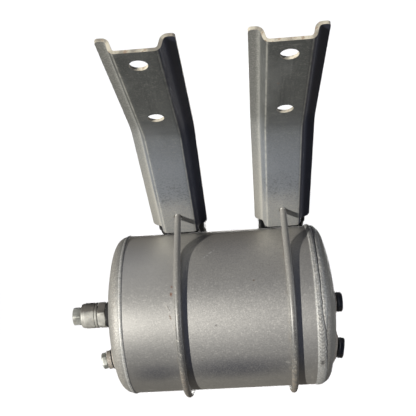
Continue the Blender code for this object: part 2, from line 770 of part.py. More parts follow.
def add_frame(name, location, tilt):
    empty = bpy.data.objects.new(name, None)
    bpy.context.scene.collection.objects.link(empty)
    empty.location = location
    empty.rotation_euler = (-tilt, 0, 0)
    return empty


def add_clamp(side_name, x, materials):
    centre = tank_centre()
    bracket_frame = add_frame(f"bracket_frame_{side_name}", (x, 0, 0), 0)
    clamp_frame = add_frame(f"clamp_frame_{side_name}", (x, centre.y, centre.z), DOG_LEG)
    add_bracket(f"bracket_{side_name}", materials["bracket_paint"], bracket_frame)
    add_saddle(f"saddle_{side_name}", materials["saddle_paint"], clamp_frame)
    add_curved_plate(
        f"cradle_{side_name}",
        CRADLE_INNER,
        CRADLE_THICKNESS,
        CRADLE_HALF_ANGLE,
        CRADLE_HALF_WIDTH,
        materials["saddle_paint"],
        clamp_frame,
    )
    add_curved_plate(
        f"liner_{side_name}",
        SHELL_RADIUS + 2 * GAP,
        LINER_THICKNESS - GAP,
        LINER_HALF_ANGLE,
        LINER_HALF_WIDTH,
        materials["seal_rubber"],
        clamp_frame,
    )
    add_foot_plate(f"foot_plate_{side_name}", materials["saddle_paint"], clamp_frame)
    add_u_bolt(f"u_bolt_{side_name}", materials["rod_steel"], clamp_frame)
    zinc = materials["fastener_zinc"]
    crown_back = CROWN_PLANE_Y + SHEET
    add_nut_and_washer(f"{side_name}_upper", ROD_CENTRE_RADIUS, crown_back, zinc, clamp_frame)
    add_nut_and_washer(f"{side_name}_lower", -ROD_CENTRE_RADIUS, FLANGE_BACK_Y, zinc, clamp_frame)


def add_tank(materials):
    tank = add_frame("tank_frame", tank_centre(), DOG_LEG)
    add_shell(materials["tank_paint"], tank)
    add_head("head_left", -1, materials["head_paint"], tank)
    add_head("head_right", 1, materials["head_paint"], tank)
    add_girth_weld("girth_weld_left", -1, GIRTH_WELD_LEFT, materials["weld_metal"], tank)
    add_girth_weld("girth_weld_right", 1, GIRTH_WELD_RIGHT, materials["weld_metal"], tank)
    add_seam_weld(materials["weld_metal"], tank)
    add_ports(materials, tank)


def main():
    clear_scene()
    materials = make_materials()
    add_tank(materials)
    for side_name, side in (("left", -1), ("right", 1)):
        add_clamp(side_name, side * BRACKET_SPACING / 2, materials)


main()
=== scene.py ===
import json
from math import acos, asin, cos, degrees, exp, hypot, pi, radians, sin, sqrt, tan

import bpy
from mathutils import Matrix, Vector, noise

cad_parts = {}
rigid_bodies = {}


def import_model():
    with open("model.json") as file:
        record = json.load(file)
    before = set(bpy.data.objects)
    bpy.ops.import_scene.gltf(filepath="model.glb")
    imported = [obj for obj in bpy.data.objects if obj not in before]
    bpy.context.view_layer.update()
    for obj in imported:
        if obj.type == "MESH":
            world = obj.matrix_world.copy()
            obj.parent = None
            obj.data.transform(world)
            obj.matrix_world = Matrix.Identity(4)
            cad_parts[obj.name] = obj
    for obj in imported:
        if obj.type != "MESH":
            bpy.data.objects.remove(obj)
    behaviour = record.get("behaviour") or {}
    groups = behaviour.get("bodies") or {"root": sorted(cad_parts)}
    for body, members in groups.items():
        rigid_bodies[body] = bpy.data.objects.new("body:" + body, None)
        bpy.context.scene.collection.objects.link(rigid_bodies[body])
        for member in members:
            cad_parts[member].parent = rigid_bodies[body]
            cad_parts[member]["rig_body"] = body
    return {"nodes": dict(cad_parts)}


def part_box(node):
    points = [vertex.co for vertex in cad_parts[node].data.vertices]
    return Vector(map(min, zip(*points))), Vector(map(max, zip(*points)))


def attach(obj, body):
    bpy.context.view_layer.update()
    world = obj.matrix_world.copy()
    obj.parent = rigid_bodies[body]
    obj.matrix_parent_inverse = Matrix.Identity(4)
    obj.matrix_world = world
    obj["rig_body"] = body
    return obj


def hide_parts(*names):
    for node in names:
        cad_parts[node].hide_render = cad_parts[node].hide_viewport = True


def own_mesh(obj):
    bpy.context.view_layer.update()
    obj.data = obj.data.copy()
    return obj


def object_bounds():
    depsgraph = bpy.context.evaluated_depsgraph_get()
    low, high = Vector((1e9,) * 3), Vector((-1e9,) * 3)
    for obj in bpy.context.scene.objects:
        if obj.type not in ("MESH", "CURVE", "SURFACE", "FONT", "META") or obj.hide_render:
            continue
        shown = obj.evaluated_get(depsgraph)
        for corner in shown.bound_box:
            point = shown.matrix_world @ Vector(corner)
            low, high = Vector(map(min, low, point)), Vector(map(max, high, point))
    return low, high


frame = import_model()
cad_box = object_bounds()

# Everything is in metres, in the part's own frame. The tank frame has its origin in the middle of
# the vessel, +X along its axis and +Y towards the brackets, and is tilted by the brackets' dog-leg.
# Angles round its axis start at +Y and grow towards +Z.
TILT = radians(20)
SHELL_LOW, SHELL_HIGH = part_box("shell")
TANK_CENTRE = (SHELL_LOW + SHELL_HIGH) / 2
TANK = Matrix.Translation(TANK_CENTRE) @ Matrix.Rotation(-TILT, 4, "X")
BRACKET_X = {"left": -0.08, "right": 0.08}
GAP = 0.0003

# Vessel
RADIUS = 0.123
WALL = 0.003
SEAM_X = 0.14075
HEAD_HEIGHT = 0.0345
HEAD_WALL = 0.0033
CROWN = 0.38
KNUCKLE = 0.019
SKIRT = 0.012
CROWN_LEAN = asin((RADIUS - KNUCKLE) / (CROWN - KNUCKLE))
APEX_X = SEAM_X + HEAD_HEIGHT
KNUCKLE_X = APEX_X - CROWN + (CROWN - KNUCKLE) * cos(CROWN_LEAN)
ROUND_STEPS = 192
ROOT_GAP = 0.00005

# Ports
PORT_OFFSET = 0.0725
PORT_ANGLE = radians(188)
CENTRE_PROUD = 0.00265
LOWER_PROUD = 0.0032
BOSS_RADIUS = 0.018
BOSS_BORE = 0.0105
BOSS_LENGTH = 0.017
STUB_RADIUS = 0.0101
STUB_LENGTH = 0.014
UNDERCUT_LENGTH = 0.0015
UNDERCUT_RADIUS = 0.0107
SEAL_OUTER = 0.015
SEAL_INNER = 0.0112
SEAL_THICKNESS = 0.0015
PORT_THREAD = 0.0015

# Brackets
SHEET = 0.004
HAT_DEPTH = 0.02
CROWN_HALF = 0.0252
BASE_HALF = 0.0292
FLANGE_HALF = 0.0424
BEND_RADIUS = 0.06
HOLE_PITCH = 0.125
TOP_Z = HOLE_PITCH / 2 + 0.026
UPPER_LENGTH = 0.207
LOWER_LENGTH = 0.213
BEND_Z = TOP_Z - UPPER_LENGTH
CHASSIS_HOLE = 0.01025
CROWN_Y = 0.0893
BEND_ABOVE_AXIS = 0.3017
LOW_Z = BEND_ABOVE_AXIS - LOWER_LENGTH
FLANGE_BACK = CROWN_Y + HAT_DEPTH

# U-bolts, nuts and saddles
ROD_RADIUS = 0.005
ROD_CENTRE = RADIUS + 0.001 + ROD_RADIUS
LEG_END = 0.127
LEG_HOLE = 0.0062
ROD_THREAD = 0.0015
ROD_THREAD_LENGTH = 0.04
WASHER_THICKNESS = 0.002
SADDLE_HALF = 0.0365
SADDLE_BACK = 0.152
SADDLE_KNEE = 0.122
SADDLE_TOP = (0.12, 0.19)
SADDLE_FOOT = (0.134, -0.16)
LINER_INNER = RADIUS + 2 * GAP
LINER_OUTER = LINER_INNER + 0.0027
CRADLE_INNER = RADIUS + 0.003 + 2 * GAP
CRADLE_OUTER = CRADLE_INNER + 0.004
FOOT_TOP_Z = -0.098

# Camera
LENS, SENSOR = 56.99, 36
CAMERA_PLACE = (0.0231106, -0.3897652, 0.6712096)
CAMERA_TURN = (18.47003, 4.208443, -2.455004)

# Lamps: where the light comes from, strength, width in degrees, colour. The key is low sun.
LAMPS = {
    "key": ((-0.69, -0.33, 0.645), 9.5, 1.6, (1.0, 0.975, 0.92)),
    "floor_lamp": ((-0.2, -0.2, 1.0), 3.6, 30, (1.0, 0.99, 0.965)),
    "under_light": ((0.06, 0.3, -0.95), 2.2, 30, (1.0, 0.99, 0.97)),
    "side_fill": ((0.985, -0.1, 0.12), 1.9, 30, (0.96, 0.98, 1.0)),
}
# The surroundings' colours, from straight below (0) to straight above (1).
SURROUNDINGS = (
    (0.0, (0.18, 0.165, 0.14)),
    (0.34, (0.15, 0.135, 0.115)),
    (0.46, (0.062, 0.067, 0.088)),
    (0.57, (0.06, 0.069, 0.112)),
    (0.8, (0.09, 0.101, 0.15)),
    (1.0, (0.105, 0.116, 0.165)),
)
PAPER = (0.97, 0.97, 0.97)


# ---------------------------------------------------------------- numbers and outlines


def circle(count):
    return [2 * pi * step / count for step in range(count)]


def polar(x, radius, angle):
    return x, radius * cos(angle), radius * sin(angle)


def smooth(value, low, high):
    """0 below low, 1 above high, and a soft turn between them. low may be above high."""
    share = min(max((value - low) / (high - low), 0), 1)
    return share * share * (3 - 2 * share)


def soft_min(first, second, width):
    return (first + second - hypot(first - second, width)) / 2


def grain(*place):
    """A repeatable rough value from -1 to 1."""
    return noise.noise(Vector(place))


def arc(centre, radius, start, end, steps):
    angles = [start + (end - start) * step / steps for step in range(steps + 1)]
    return [(centre[0] + radius * cos(a), centre[1] + radius * sin(a)) for a in angles]


def rounded(corners, steps=3, closed=True):
    """A line through corners, each (x, y, size), with every corner of some size curved."""
    line = []
    last = len(corners) - 1
    for index, (x, y, size) in enumerate(corners):
        here = Vector((x, y))
        if size == 0 or (not closed and index in (0, last)):
            line.append((x, y))
            continue
        before = Vector(corners[index - 1][:2]) - here
        after = Vector(corners[(index + 1) % len(corners)][:2]) - here
        size = min(size, 0.48 * before.length, 0.48 * after.length)
        start = here + before.normalized() * size
        end = here + after.normalized() * size
        for step in range(steps + 1):
            share = step / steps
            point = start.lerp(here, share).lerp(here.lerp(end, share), share)
            line.append(tuple(point))
    return line


def offset_line(path, distance):
    moved = []
    for index, point in enumerate(path):
        before = Vector(path[max(index - 1, 0)])
        after = Vector(path[min(index + 1, len(path) - 1)])
        along = (after - before).normalized()
        moved.append(tuple(Vector(point) + Vector((-along.y, along.x)) * distance))
    return moved


# ---------------------------------------------------------------- meshes


def skin(rows, closed=False, ring=True):
    """Vertices and faces over rows of points. ring joins each row's ends, closed the first and
    last row; open ends of ringed rows get a cap."""
    verts, index = [], []
    for row in rows:
        index.append(list(range(len(verts), len(verts) + len(row))))
        verts += [tuple(point) for point in row]
    faces = []
    pairs = zip(index, index[1:] + index[:1]) if closed else zip(index, index[1:])
    for first, second in pairs:
        count = len(first)
        for low in range(count if ring else count - 1):
            high = (low + 1) % count
            faces.append((first[low], first[high], second[high], second[low]))
    if ring and not closed:
        faces.append(tuple(reversed(index[0])))
        faces.append(tuple(index[-1]))
    return verts, faces


def turned(outline, angles, shape=None):
    """A solid of revolution about X from a closed outline of (x, radius)."""
    verts, rings = [], []
    for x, radius in outline:
        if radius <= 1e-6:
            rings.append([len(verts)] * len(angles))
            verts.append((x, 0, 0))
            continue
        rings.append(list(range(len(verts), len(verts) + len(angles))))
        for angle in angles:
            verts.append(polar(x, shape(x, angle, radius) if shape else radius, angle))
    faces = []
    for first, second in zip(rings, rings[1:] + rings[:1]):
        for low in range(len(angles)):
            high = (low + 1) % len(angles)
            loop = tuple(dict.fromkeys((first[low], first[high], second[high], second[low])))
            if len(loop) > 2:
                faces.append(loop)
    return verts, faces


def prism(outline, low, high, axis="X"):
    """A closed outline carried along X (outline in Y, Z) or Y (outline in X, Z)."""
    rows = []
    for along in (low, high):
        rows.append([(along, u, v) if axis == "X" else (u, along, v) for u, v in outline])
    return skin(rows)


def new_mesh(name, verts, faces):
    mesh = bpy.data.meshes.new(name)
    mesh.from_pydata(verts, [], faces)
    obj = bpy.data.objects.new(name, mesh)
    bpy.context.scene.collection.objects.link(obj)
    return obj


def new_object(name, shape, place):
    verts, faces = shape
    obj = new_mesh(name, [place @ Vector(point) for point in verts], faces)
    obj.data.update()
    face_outwards(obj.data)
    return obj


def face_outwards(mesh):
    """Turns the faces outward, judged by the volume that they close."""
    volume = 0
    for polygon in mesh.polygons:
        corners = [mesh.vertices[index].co for index in polygon.vertices]
        for second, third in zip(corners[1:], corners[2:]):
            volume += corners[0].dot(second.cross(third))
    if volume < 0:
        mesh.flip_normals()


def settle(obj):
    """Makes the object's modifiers part of its mesh."""
    graph = bpy.context.evaluated_depsgraph_get()
    mesh = bpy.data.meshes.new_from_object(obj.evaluated_get(graph))
    obj.modifiers.clear()
    obj.data = mesh


def carve(obj, cutters):
    """Cuts each cutter's shape out of obj, and removes the cutters."""
    for cutter in cutters:
        boolean = obj.modifiers.new("cut", "BOOLEAN")
        boolean.object = cutter
        boolean.operation = "DIFFERENCE"
    settle(obj)
    for cutter in cutters:
        bpy.data.objects.remove(cutter)


def drill(radius, low, high, place, across=48):
    """A cutter for a round hole along the place's X."""
    outline = [(low, 0), (low, radius), (high, radius), (high, 0)]
    return new_object("drill", turned(outline, circle(across)), place)


def ease_edges(obj, width, steps=2, material=-1):
    """A narrow rounding on every sharp edge, as on sheared or sawn metal."""
    bevel = obj.modifiers.new("edges", "BEVEL")
    bevel.width = width
    bevel.segments = steps
    bevel.limit_method = "ANGLE"
    bevel.angle_limit = radians(38)
    bevel.material = material
    settle(obj)


def add_piece(obj, looks, node=None, sharp=42):
    """Gives a finished shape its look, or one look for each material index, and its place in
    the frame."""
    looks = (looks,) if isinstance(looks, str) else looks
    mesh = obj.data
    kept = [polygon.material_index for polygon in mesh.polygons]
    mesh.materials.clear()
    for look in looks:
        mesh.materials.append(LOOKS[look])
    for polygon, index in zip(mesh.polygons, kept):
        polygon.material_index = min(index, len(looks) - 1)
    mesh.shade_smooth()
    mesh.set_sharp_from_angle(angle=radians(sharp))
    body = "reservoir"
    if node:
        body = frame["nodes"][node]["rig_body"]
        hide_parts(node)
    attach(obj, body)
    return obj


# ---------------------------------------------------------------- materials


class Graph:
    """A node tree. Most calls add a node and give back the socket to link on."""

    def __init__(self, owner):
        owner.use_nodes = True
        self.tree = owner.node_tree

    def node(self, kind, feeds=None, **settings):
        """A new node with its settings made and its sockets fed."""
        node = self.tree.nodes.new("ShaderNode" + kind)
        for name, value in settings.items():
            setattr(node, name, value)
        for socket, value in (feeds or {}).items():
            self.feed(node.inputs[socket], value)
        return node

    def feed(self, socket, value):
        if isinstance(value, bpy.types.NodeSocket):
            self.tree.links.new(value, socket)
        elif isinstance(value, tuple) and len(socket.default_value) == 4:
            socket.default_value = (*value, 1)
        else:
            socket.default_value = value

    def math(self, operation, *values):
        return self.node("Math", dict(enumerate(values)), operation=operation).outputs[0]

    def multiply(self, *values):
        product = values[0]
        for value in values[1:]:
            product = self.math("MULTIPLY", product, value)
        return product

    def apart(self, first, second):
        """The distance between two values."""
        return self.math("ABSOLUTE", self.math("SUBTRACT", first, second))

    def step(self, value, low, high):
        """0 at low, 1 at high, with a soft turn between them."""
        feeds = {"Value": value, "From Min": low, "From Max": high}
        return self.node("MapRange", feeds, interpolation_type="SMOOTHSTEP").outputs["Result"]

    def scale(self, value, low, high):
        """0 becomes low and 1 becomes high."""
        feeds = {"Value": value, "To Min": low, "To Max": high}
        return self.node("MapRange", feeds).outputs["Result"]

    def mix(self, share, first, second):
        feeds = {"Factor": share, 6: first, 7: second}
        return self.node("Mix", feeds, data_type="RGBA").outputs[2]

    def axes(self, vector):
        return self.node("SeparateXYZ", {0: vector}).outputs[:3]


class Look(Graph):
    """One material. Its colour is built up in coats."""

    def __init__(self, name):
        self.material = bpy.data.materials.new(name)
        super().__init__(self.material)
        self.place = self.node("TexCoord").outputs["Object"]
        self.colour = None

    def moved(self, location=(0, 0, 0), rotation=(0, 0, 0), scale=(1, 1, 1)):
        feeds = {"Vector": self.place, "Location": location, "Rotation": rotation, "Scale": scale}
        return self.node("Mapping", feeds).outputs[0]

    def noise(self, scale, detail=3.0, roughness=0.55, where=None):
        feeds = {"Vector": where or self.place, "Scale": scale}
        feeds.update({"Detail": detail, "Roughness": roughness})
        return self.node("TexNoise", feeds).outputs["Fac"]

    def cells(self, scale):
        return self.node("TexVoronoi", {"Vector": self.place, "Scale": scale}).outputs["Distance"]

    def blots(self, low, high, *noise):
        """Noise drawn apart into blots: 0 where its level is low, 1 where it is high."""
        return self.step(self.noise(*noise), low, high)

    def attribute(self, name):
        return self.node("Attribute", attribute_name=name).outputs["Fac"]

    def coat(self, colour, *shares):
        """Lays a colour over the one so far, at the product of the shares."""
        self.colour = self.mix(self.multiply(*shares), self.colour, colour)

    def finish(self, roughness, height, depth, metallic=0.0, specular=0.5):
        bump = self.node("Bump", {"Strength": 1.0, "Distance": depth, "Height": height})
        for name, value in (
            ("Specular IOR Level", specular),
            ("Base Color", self.colour),
            ("Roughness", roughness),
            ("Metallic", metallic),
            ("Normal", bump.outputs["Normal"]),
        ):
            self.feed(self.tree.nodes["Principled BSDF"].inputs[name], value)
        return self.material


def tank_place(look):
    """A point in the tank frame, as its place, its X and its angle round the axis in radians."""
    turned_back = Matrix.Rotation(TILT, 3, "X") @ TANK_CENTRE
    local = look.moved(location=tuple(-turned_back), rotation=(TILT, 0, 0))
    x, y, z = look.axes(local)
    return local, x, look.math("ARCTAN2", z, y)


def facing(look, angle, around):
    """How far a point on the tank faces the way of an angle round the axis: 1 to -1."""
    return look.math("COSINE", look.math("SUBTRACT", angle, radians(around)))


def patch(look, flat, oval, edge):
    """1 in an oval on the tank's surface laid out flat, and 0 outside it."""
    at_x, around, half_length, half_width, turn = oval
    feeds = {
        "Vector": flat,
        "Location": (at_x, radians(around) * RADIUS, 0),
        "Rotation": (0, 0, radians(turn)),
        "Scale": (half_length, half_width, 1),
    }
    inside = look.node("Mapping", feeds, vector_type="TEXTURE").outputs[0]
    length = look.node("VectorMath", {0: inside}, operation="LENGTH").outputs["Value"]
    return look.step(length, 1.0, edge)


def paint_look(
    name, dark, light, dust, rough=(0.47, 0.56), marks=None, dust_amount=0.45, metallic=0.85,
    grit_amount=0.12,
):
    """Old semi-gloss paint: clouds, fine grain, dust, thin scratches and a few chips."""
    look = Look(name)
    shade = tuple(channel * 0.45 for channel in dark)
    look.colour = look.mix(look.blots(0.25, 0.75, 4.0, 3.0, 0.5), dark, light)
    look.coat(dust, look.blots(0.35, 0.75, 130.0, 3.0, 0.6), 0.08)
    fine = look.noise(1150.0, 2.0, 0.6)
    coarse = look.noise(380.0, 3.0, 0.6)
    speck = look.step(look.math("ADD", look.multiply(fine, 0.5), coarse), 0.8, 0.95)
    look.coat(dust, speck, dust_amount)
    look.coat(shade, look.blots(0.36, 0.26, 760.0, 2.0, 0.5), 0.5)
    grit = look.noise(500.0, 2.0, 0.75)
    look.coat(shade, look.step(grit, 0.5, 0.37), grit_amount)
    look.coat(dust, look.step(grit, 0.5, 0.63), grit_amount)
    wander = look.moved(rotation=(0.3, 0.4, 0.9), scale=(1.0, 2.2, 7.0))
    scratches = look.step(look.apart(look.noise(14.0, 1.0, 0.4, wander), 0.5), 0.006, 0.0018)
    look.coat(dust, scratches, look.blots(0.52, 0.62, 11.0, 2.0), 0.55)
    chips = look.step(look.cells(46.0), 0.1, 0.06)
    look.coat((0.13, 0.075, 0.045), chips, look.blots(0.6, 0.66, 19.0, 2.0), 0.7)
    if marks:
        marks(look)
    return look.finish(look.scale(speck, *rough), fine, 0.0001, metallic)


# Ovals on the tank: X, degrees round the axis, half length, half width, turn.
# Painted reflections: dark bluish ovals low on the front of the tank, each with its share.
PAINTED_DARK_REFLECTIONS = (((-0.098, 166, 0.05, 0.029, 0), 0.68), ((0.018, 165, 0.135, 0.033, 0), 0.8))
SPOTS = (
    ((-0.0665, 109, 0.003, 0.0045, 0), 0.85, (0.2, 0.085, 0.045)),
    ((-0.0655, 104, 0.0025, 0.003, 0), 0.6, (0.24, 0.13, 0.09)),
    ((-0.074, 117, 0.009, 0.001, 58), 0.75, (0.42, 0.4, 0.36)),
    ((-0.071, 118, 0.007, 0.0008, 66), 0.7, (0.05, 0.045, 0.04)),
    ((-0.069, 124, 0.006, 0.002, 75), 0.7, (0.13, 0.085, 0.055)),
    ((-0.0045, 131, 0.0022, 0.002, 0), 0.95, (0.025, 0.022, 0.02)),
    ((0.093, 161, 0.005, 0.0035, 20), 0.75, (0.55, 0.54, 0.5)),
    ((0.096, 167, 0.003, 0.006, 0), 0.55, (0.42, 0.4, 0.36)),
    ((-0.0708, 171, 0.005, 0.002, 10), 0.65, (0.5, 0.5, 0.47)),
    ((-0.116, 84, 0.0045, 0.0007, 60), 0.6, (0.42, 0.41, 0.38)),
    ((-0.035, 104, 0.002, 0.001, 30), 0.6, (0.45, 0.44, 0.4)),
)
SMUDGES = (
    (-0.012, 79.5, 0.015, 0.0016, 136),
    (0.002, 197.0, 0.007, 0.0014, 120),
    (0.019, 196.0, 0.007, 0.0014, 110),
    (0.06, 195.0, 0.01, 0.0016, 150),
    (-0.083, 199.0, 0.008, 0.0014, 140),
)


def tank_marks(look):
    """Dust settled on top together with painted light there, painted shade over the left end with
    painted light on its upper side, painted dark reflections low down, rust and rubbed spots, grime
    under the rods and chalk smudges."""
    local, x, angle = tank_place(look)
    flat = look.node("CombineXYZ", {0: x, 1: look.multiply(angle, RADIUS)}).outputs[0]
    uneven = look.scale(look.blots(0.34, 0.66, 430.0, 3.0, 0.75, local), 0.4, 1.0)
    top = facing(look, angle, 30)
    # Lighter on the upper side: settled dust, and painted light that brightens the top.
    look.coat((0.475, 0.455, 0.42), look.step(top, 0.15, 0.75), uneven)
    # Painted shade that dulls the left end, and painted light on its upper side.
    left_end_painted_light = look.step(x, -0.03, -0.1)
    look.coat((0.2, 0.198, 0.188), left_end_painted_light, 0.3)
    look.coat((0.66, 0.645, 0.6), left_end_painted_light, look.step(top, 0.05, 0.6), 0.6)
    broken = look.scale(look.blots(0.36, 0.6, 520.0, 3.0, 0.7, local), 0.45, 1.0)
    # Painted dark reflections, broken up by noise.
    for oval, share in PAINTED_DARK_REFLECTIONS:
        look.coat((0.105, 0.11, 0.13), patch(look, flat, oval, 0.1), broken, share)
    rough_edge = look.scale(look.blots(0.42, 0.54, 330.0, 3.0, 0.7, local), 0.3, 1.0)
    for oval, share, stain in SPOTS:
        look.coat(stain, patch(look, flat, oval, 0.3), rough_edge, share)
    grime = look.blots(0.5, 0.64, 60.0, 3.0, 0.7, local)
    for bracket_x in BRACKET_X.values():
        band = look.step(look.apart(x, bracket_x - TANK_CENTRE.x), 0.01, 0.003)
        look.coat((0.3, 0.25, 0.19), band, grime, 0.35)
    chalk = look.blots(0.44, 0.54, 260.0, 3.0, 0.7, local)
    for oval in SMUDGES:
        look.coat((0.7, 0.7, 0.68), patch(look, flat, oval, 0.5), chalk, 0.75)


def head_marks(look):
    """Gritty paint where the head's edge meets the weld."""
    local, x, _ = tank_place(look)
    band = look.step(look.apart(look.math("ABSOLUTE", x), 0.1515), 0.0075, 0.0015)
    look.coat((0.115, 0.095, 0.075), band, look.blots(0.46, 0.62, 480.0, 3.0, 0.7, local), 0.5)
    look.coat((0.34, 0.33, 0.29), band, look.blots(0.54, 0.66, 610.0, 2.0, 0.6, local), 0.5)


def rod_marks(look):
    """Pale dust together with painted light on the rods' upper runs, and rust-tinted dust where
    they turn under the tank.
    """
    local, _, angle = tank_place(look)
    # Lighter on the upper runs: dust, and painted light.
    look.coat((0.225, 0.219, 0.203), look.step(facing(look, angle, 40), -0.2, 0.7), 0.6)
    low = look.step(facing(look, angle, 200), 0.62, 0.95)
    look.coat((0.2, 0.165, 0.125), low, look.blots(0.38, 0.6, 160.0, 3.0, 0.6, local), 0.45)


def bracket_marks(look):
    """Smeared dust; a lighter bluish coat below the bend, partly dust and partly painted light;
    warm dust with dark specks at the foot; painted light on the flanges of the sun side; painted
    shade on the side walls and flanges away from the sun; a light line along the folds, partly worn
    paint and partly a painted highlight."""
    x, _, z = look.axes(look.place)
    beyond = look.math("SUBTRACT", look.math("ABSOLUTE", x), BRACKET_X["right"])
    across = look.math("ABSOLUTE", beyond)
    sunny = look.step(look.multiply(beyond, look.math("SIGN", x)), 0.002, -0.002)
    stretched = look.moved(scale=(1.0, 1.0, 0.5))
    look.coat((0.15, 0.155, 0.152), look.blots(0.48, 0.72, 21.0, 4.0, 0.55, stretched), 0.45)
    edge = look.scale(look.noise(26.0, 3.0), -0.02, 0.02)
    low = look.step(look.math("ADD", z, edge), -0.05, -0.19)
    thick = look.scale(look.blots(0.3, 0.7, 420.0, 4.0, 0.7), 0.5, 0.8)
    # Lighter bluish coat below the bend: partly dust, partly painted light for the lower leg's
    # other angle to the light.
    look.coat((0.172, 0.187, 0.211), low, thick)
    grit = look.blots(0.44, 0.6, 560.0, 3.0, 0.7)
    foot = look.step(look.math("ADD", z, look.multiply(edge, 0.5)), -0.222, -0.272)
    look.coat((0.248, 0.242, 0.22), foot, look.scale(grit, 0.35, 0.85))
    speckled = look.multiply(look.step(z, -0.18, -0.222), look.step(z, -0.272, -0.245))
    look.coat((0.075, 0.076, 0.076), speckled, look.blots(0.54, 0.6, 330.0, 2.0, 0.7), 0.6)
    # Painted light: paler flanges on the side towards the sun, paler still lower down, with dust in
    # it.
    flange = look.multiply(look.step(across, BASE_HALF, BASE_HALF + 0.002), sunny)
    look.coat((0.27, 0.27, 0.25), flange, look.scale(grit, 0.5, 0.95))
    look.coat((0.3, 0.292, 0.264), flange, look.step(z, -0.11, -0.25), look.scale(grit, 0.5, 0.9))
    crown = look.step(across, CROWN_HALF + 0.0005, CROWN_HALF - 0.0015)
    # Painted shade: near black navy on the side wall and flange away from the sun.
    wall = look.multiply(look.math("SUBTRACT", 1.0, crown), look.math("SUBTRACT", 1.0, sunny))
    look.coat((0.021, 0.024, 0.042), wall, 0.92)
    # A light line along the crown's folds: partly worn paint, partly a painted highlight.
    fold_wear_and_highlight = look.step(look.apart(across, CROWN_HALF - 0.0014), 0.0015, 0.0003)
    worn = look.scale(look.blots(0.3, 0.62, 95.0, 4.0), 0.35, 1.0)
    look.coat((0.37, 0.365, 0.33), fold_wear_and_highlight, worn, 0.55)


def weld_marks(look):
    """Painted shade, brownish black, in the creases between passes, along the bead's edges and in
    the ripple valleys, and lighter ridges, partly worn paint and partly a painted highlight.
    """
    look.coat((0.44, 0.445, 0.435), look.blots(0.52, 0.64, 620.0, 2.0, 0.7), 0.5)
    apart = look.moved(location=(0.3, 0, 0))
    look.coat((0.055, 0.054, 0.056), look.blots(0.54, 0.66, 540.0, 2.0, 0.7, apart), 0.45)
    # Painted shade in the creases and ripple valleys.
    look.coat((0.022, 0.019, 0.018), look.attribute("crease"))
    worn = look.blots(0.42, 0.58, 140.0, 3.0)
    # Lighter ridges: worn paint and painted highlight.
    look.coat((0.36, 0.345, 0.31), look.attribute("ridge"), worn, 0.55)


def cloudy_look(name, dark, light, level, *cloud):
    """A material whose two tones lie in clouds, and the clouds."""
    look = Look(name)
    clouds = look.blots(*level, *cloud)
    look.colour = look.mix(clouds, dark, light)
    return look, clouds


def bare_edge_look():
    """Sheared sheet edge: worn paint over rust-tinted steel, with dust in it."""
    tones = (0.13, 0.12, 0.1), (0.34, 0.315, 0.255)
    look, cloud = cloudy_look("sheet_edge", *tones, (0.36, 0.62), 60.0, 4.0, 0.65)
    look.coat((0.13, 0.075, 0.04), look.blots(0.56, 0.66, 240.0, 3.0), 0.7)
    return look.finish(look.scale(cloud, 0.5, 0.75), look.noise(400.0, 3.0), 0.0003)


def metal_look(name, dark, light, stain, rough, metallic, stain_share=0.5):
    """Plated or plain metal with tarnish, stains in patches and fine tool marks."""
    look, cloud = cloudy_look(name, dark, light, (0.36, 0.66), 90.0, 4.0, 0.6)
    look.coat(stain, look.blots(0.54, 0.66, 150.0, 4.0, 0.7), stain_share)
    fine = look.noise(960.0, 2.0)
    roughness = look.scale(look.multiply(look.math("ADD", cloud, fine), 0.5), *rough)
    height = look.math("ADD", fine, look.multiply(look.noise(240.0, 3.0), 1.2))
    return look.finish(roughness, height, 0.00015, metallic)


def valve_look():
    """Cast alloy under a coat of dry dust, with painted shade on the side that faces the brackets.
    """
    tones = (0.185, 0.183, 0.168), (0.255, 0.252, 0.23)
    look, cloud = cloudy_look("valve_dusty_metal", *tones, (0.34, 0.68), 120.0, 4.0, 0.6)
    # Painted shade: darker where the surface faces +Y, towards the brackets.
    towards = look.axes(look.node("NewGeometry").outputs["Normal"])[1]
    level = look.math("ADD", towards, look.scale(look.noise(300.0), -0.2, 0.2))
    look.coat((0.06, 0.054, 0.047), look.step(level, 0.02, 0.22), 0.8)
    look.coat((0.17, 0.14, 0.1), look.blots(0.56, 0.66, 420.0, 3.0, 0.7), 0.4)
    return look.finish(look.scale(cloud, 0.5, 0.66), look.noise(700.0, 3.0), 0.00012, 0.3)


def rubber_look():
    """Matt black rubber with a little dust."""
    tones = (0.007, 0.007, 0.008), (0.018, 0.018, 0.018)
    look, cloud = cloudy_look("rubber", *tones, (0.38, 0.66), 45.0, 4.0, 0.6)
    look.coat((0.1, 0.095, 0.085), look.blots(0.56, 0.72, 500.0, 3.0, 0.6), 0.25)
    height = look.noise(500.0, 3.0)
    return look.finish(look.scale(cloud, 0.62, 0.85), height, 0.0002, specular=0.12)


def floor_look():
    """Plain pale floor."""
    look = Look("floor")
    cloud = look.noise(3.0, 3.0)
    look.colour = look.mix(cloud, (0.8, 0.8, 0.8), (0.84, 0.84, 0.84))
    return look.finish(look.scale(cloud, 0.7, 0.8), look.noise(160.0, 2.0), 0.0002)


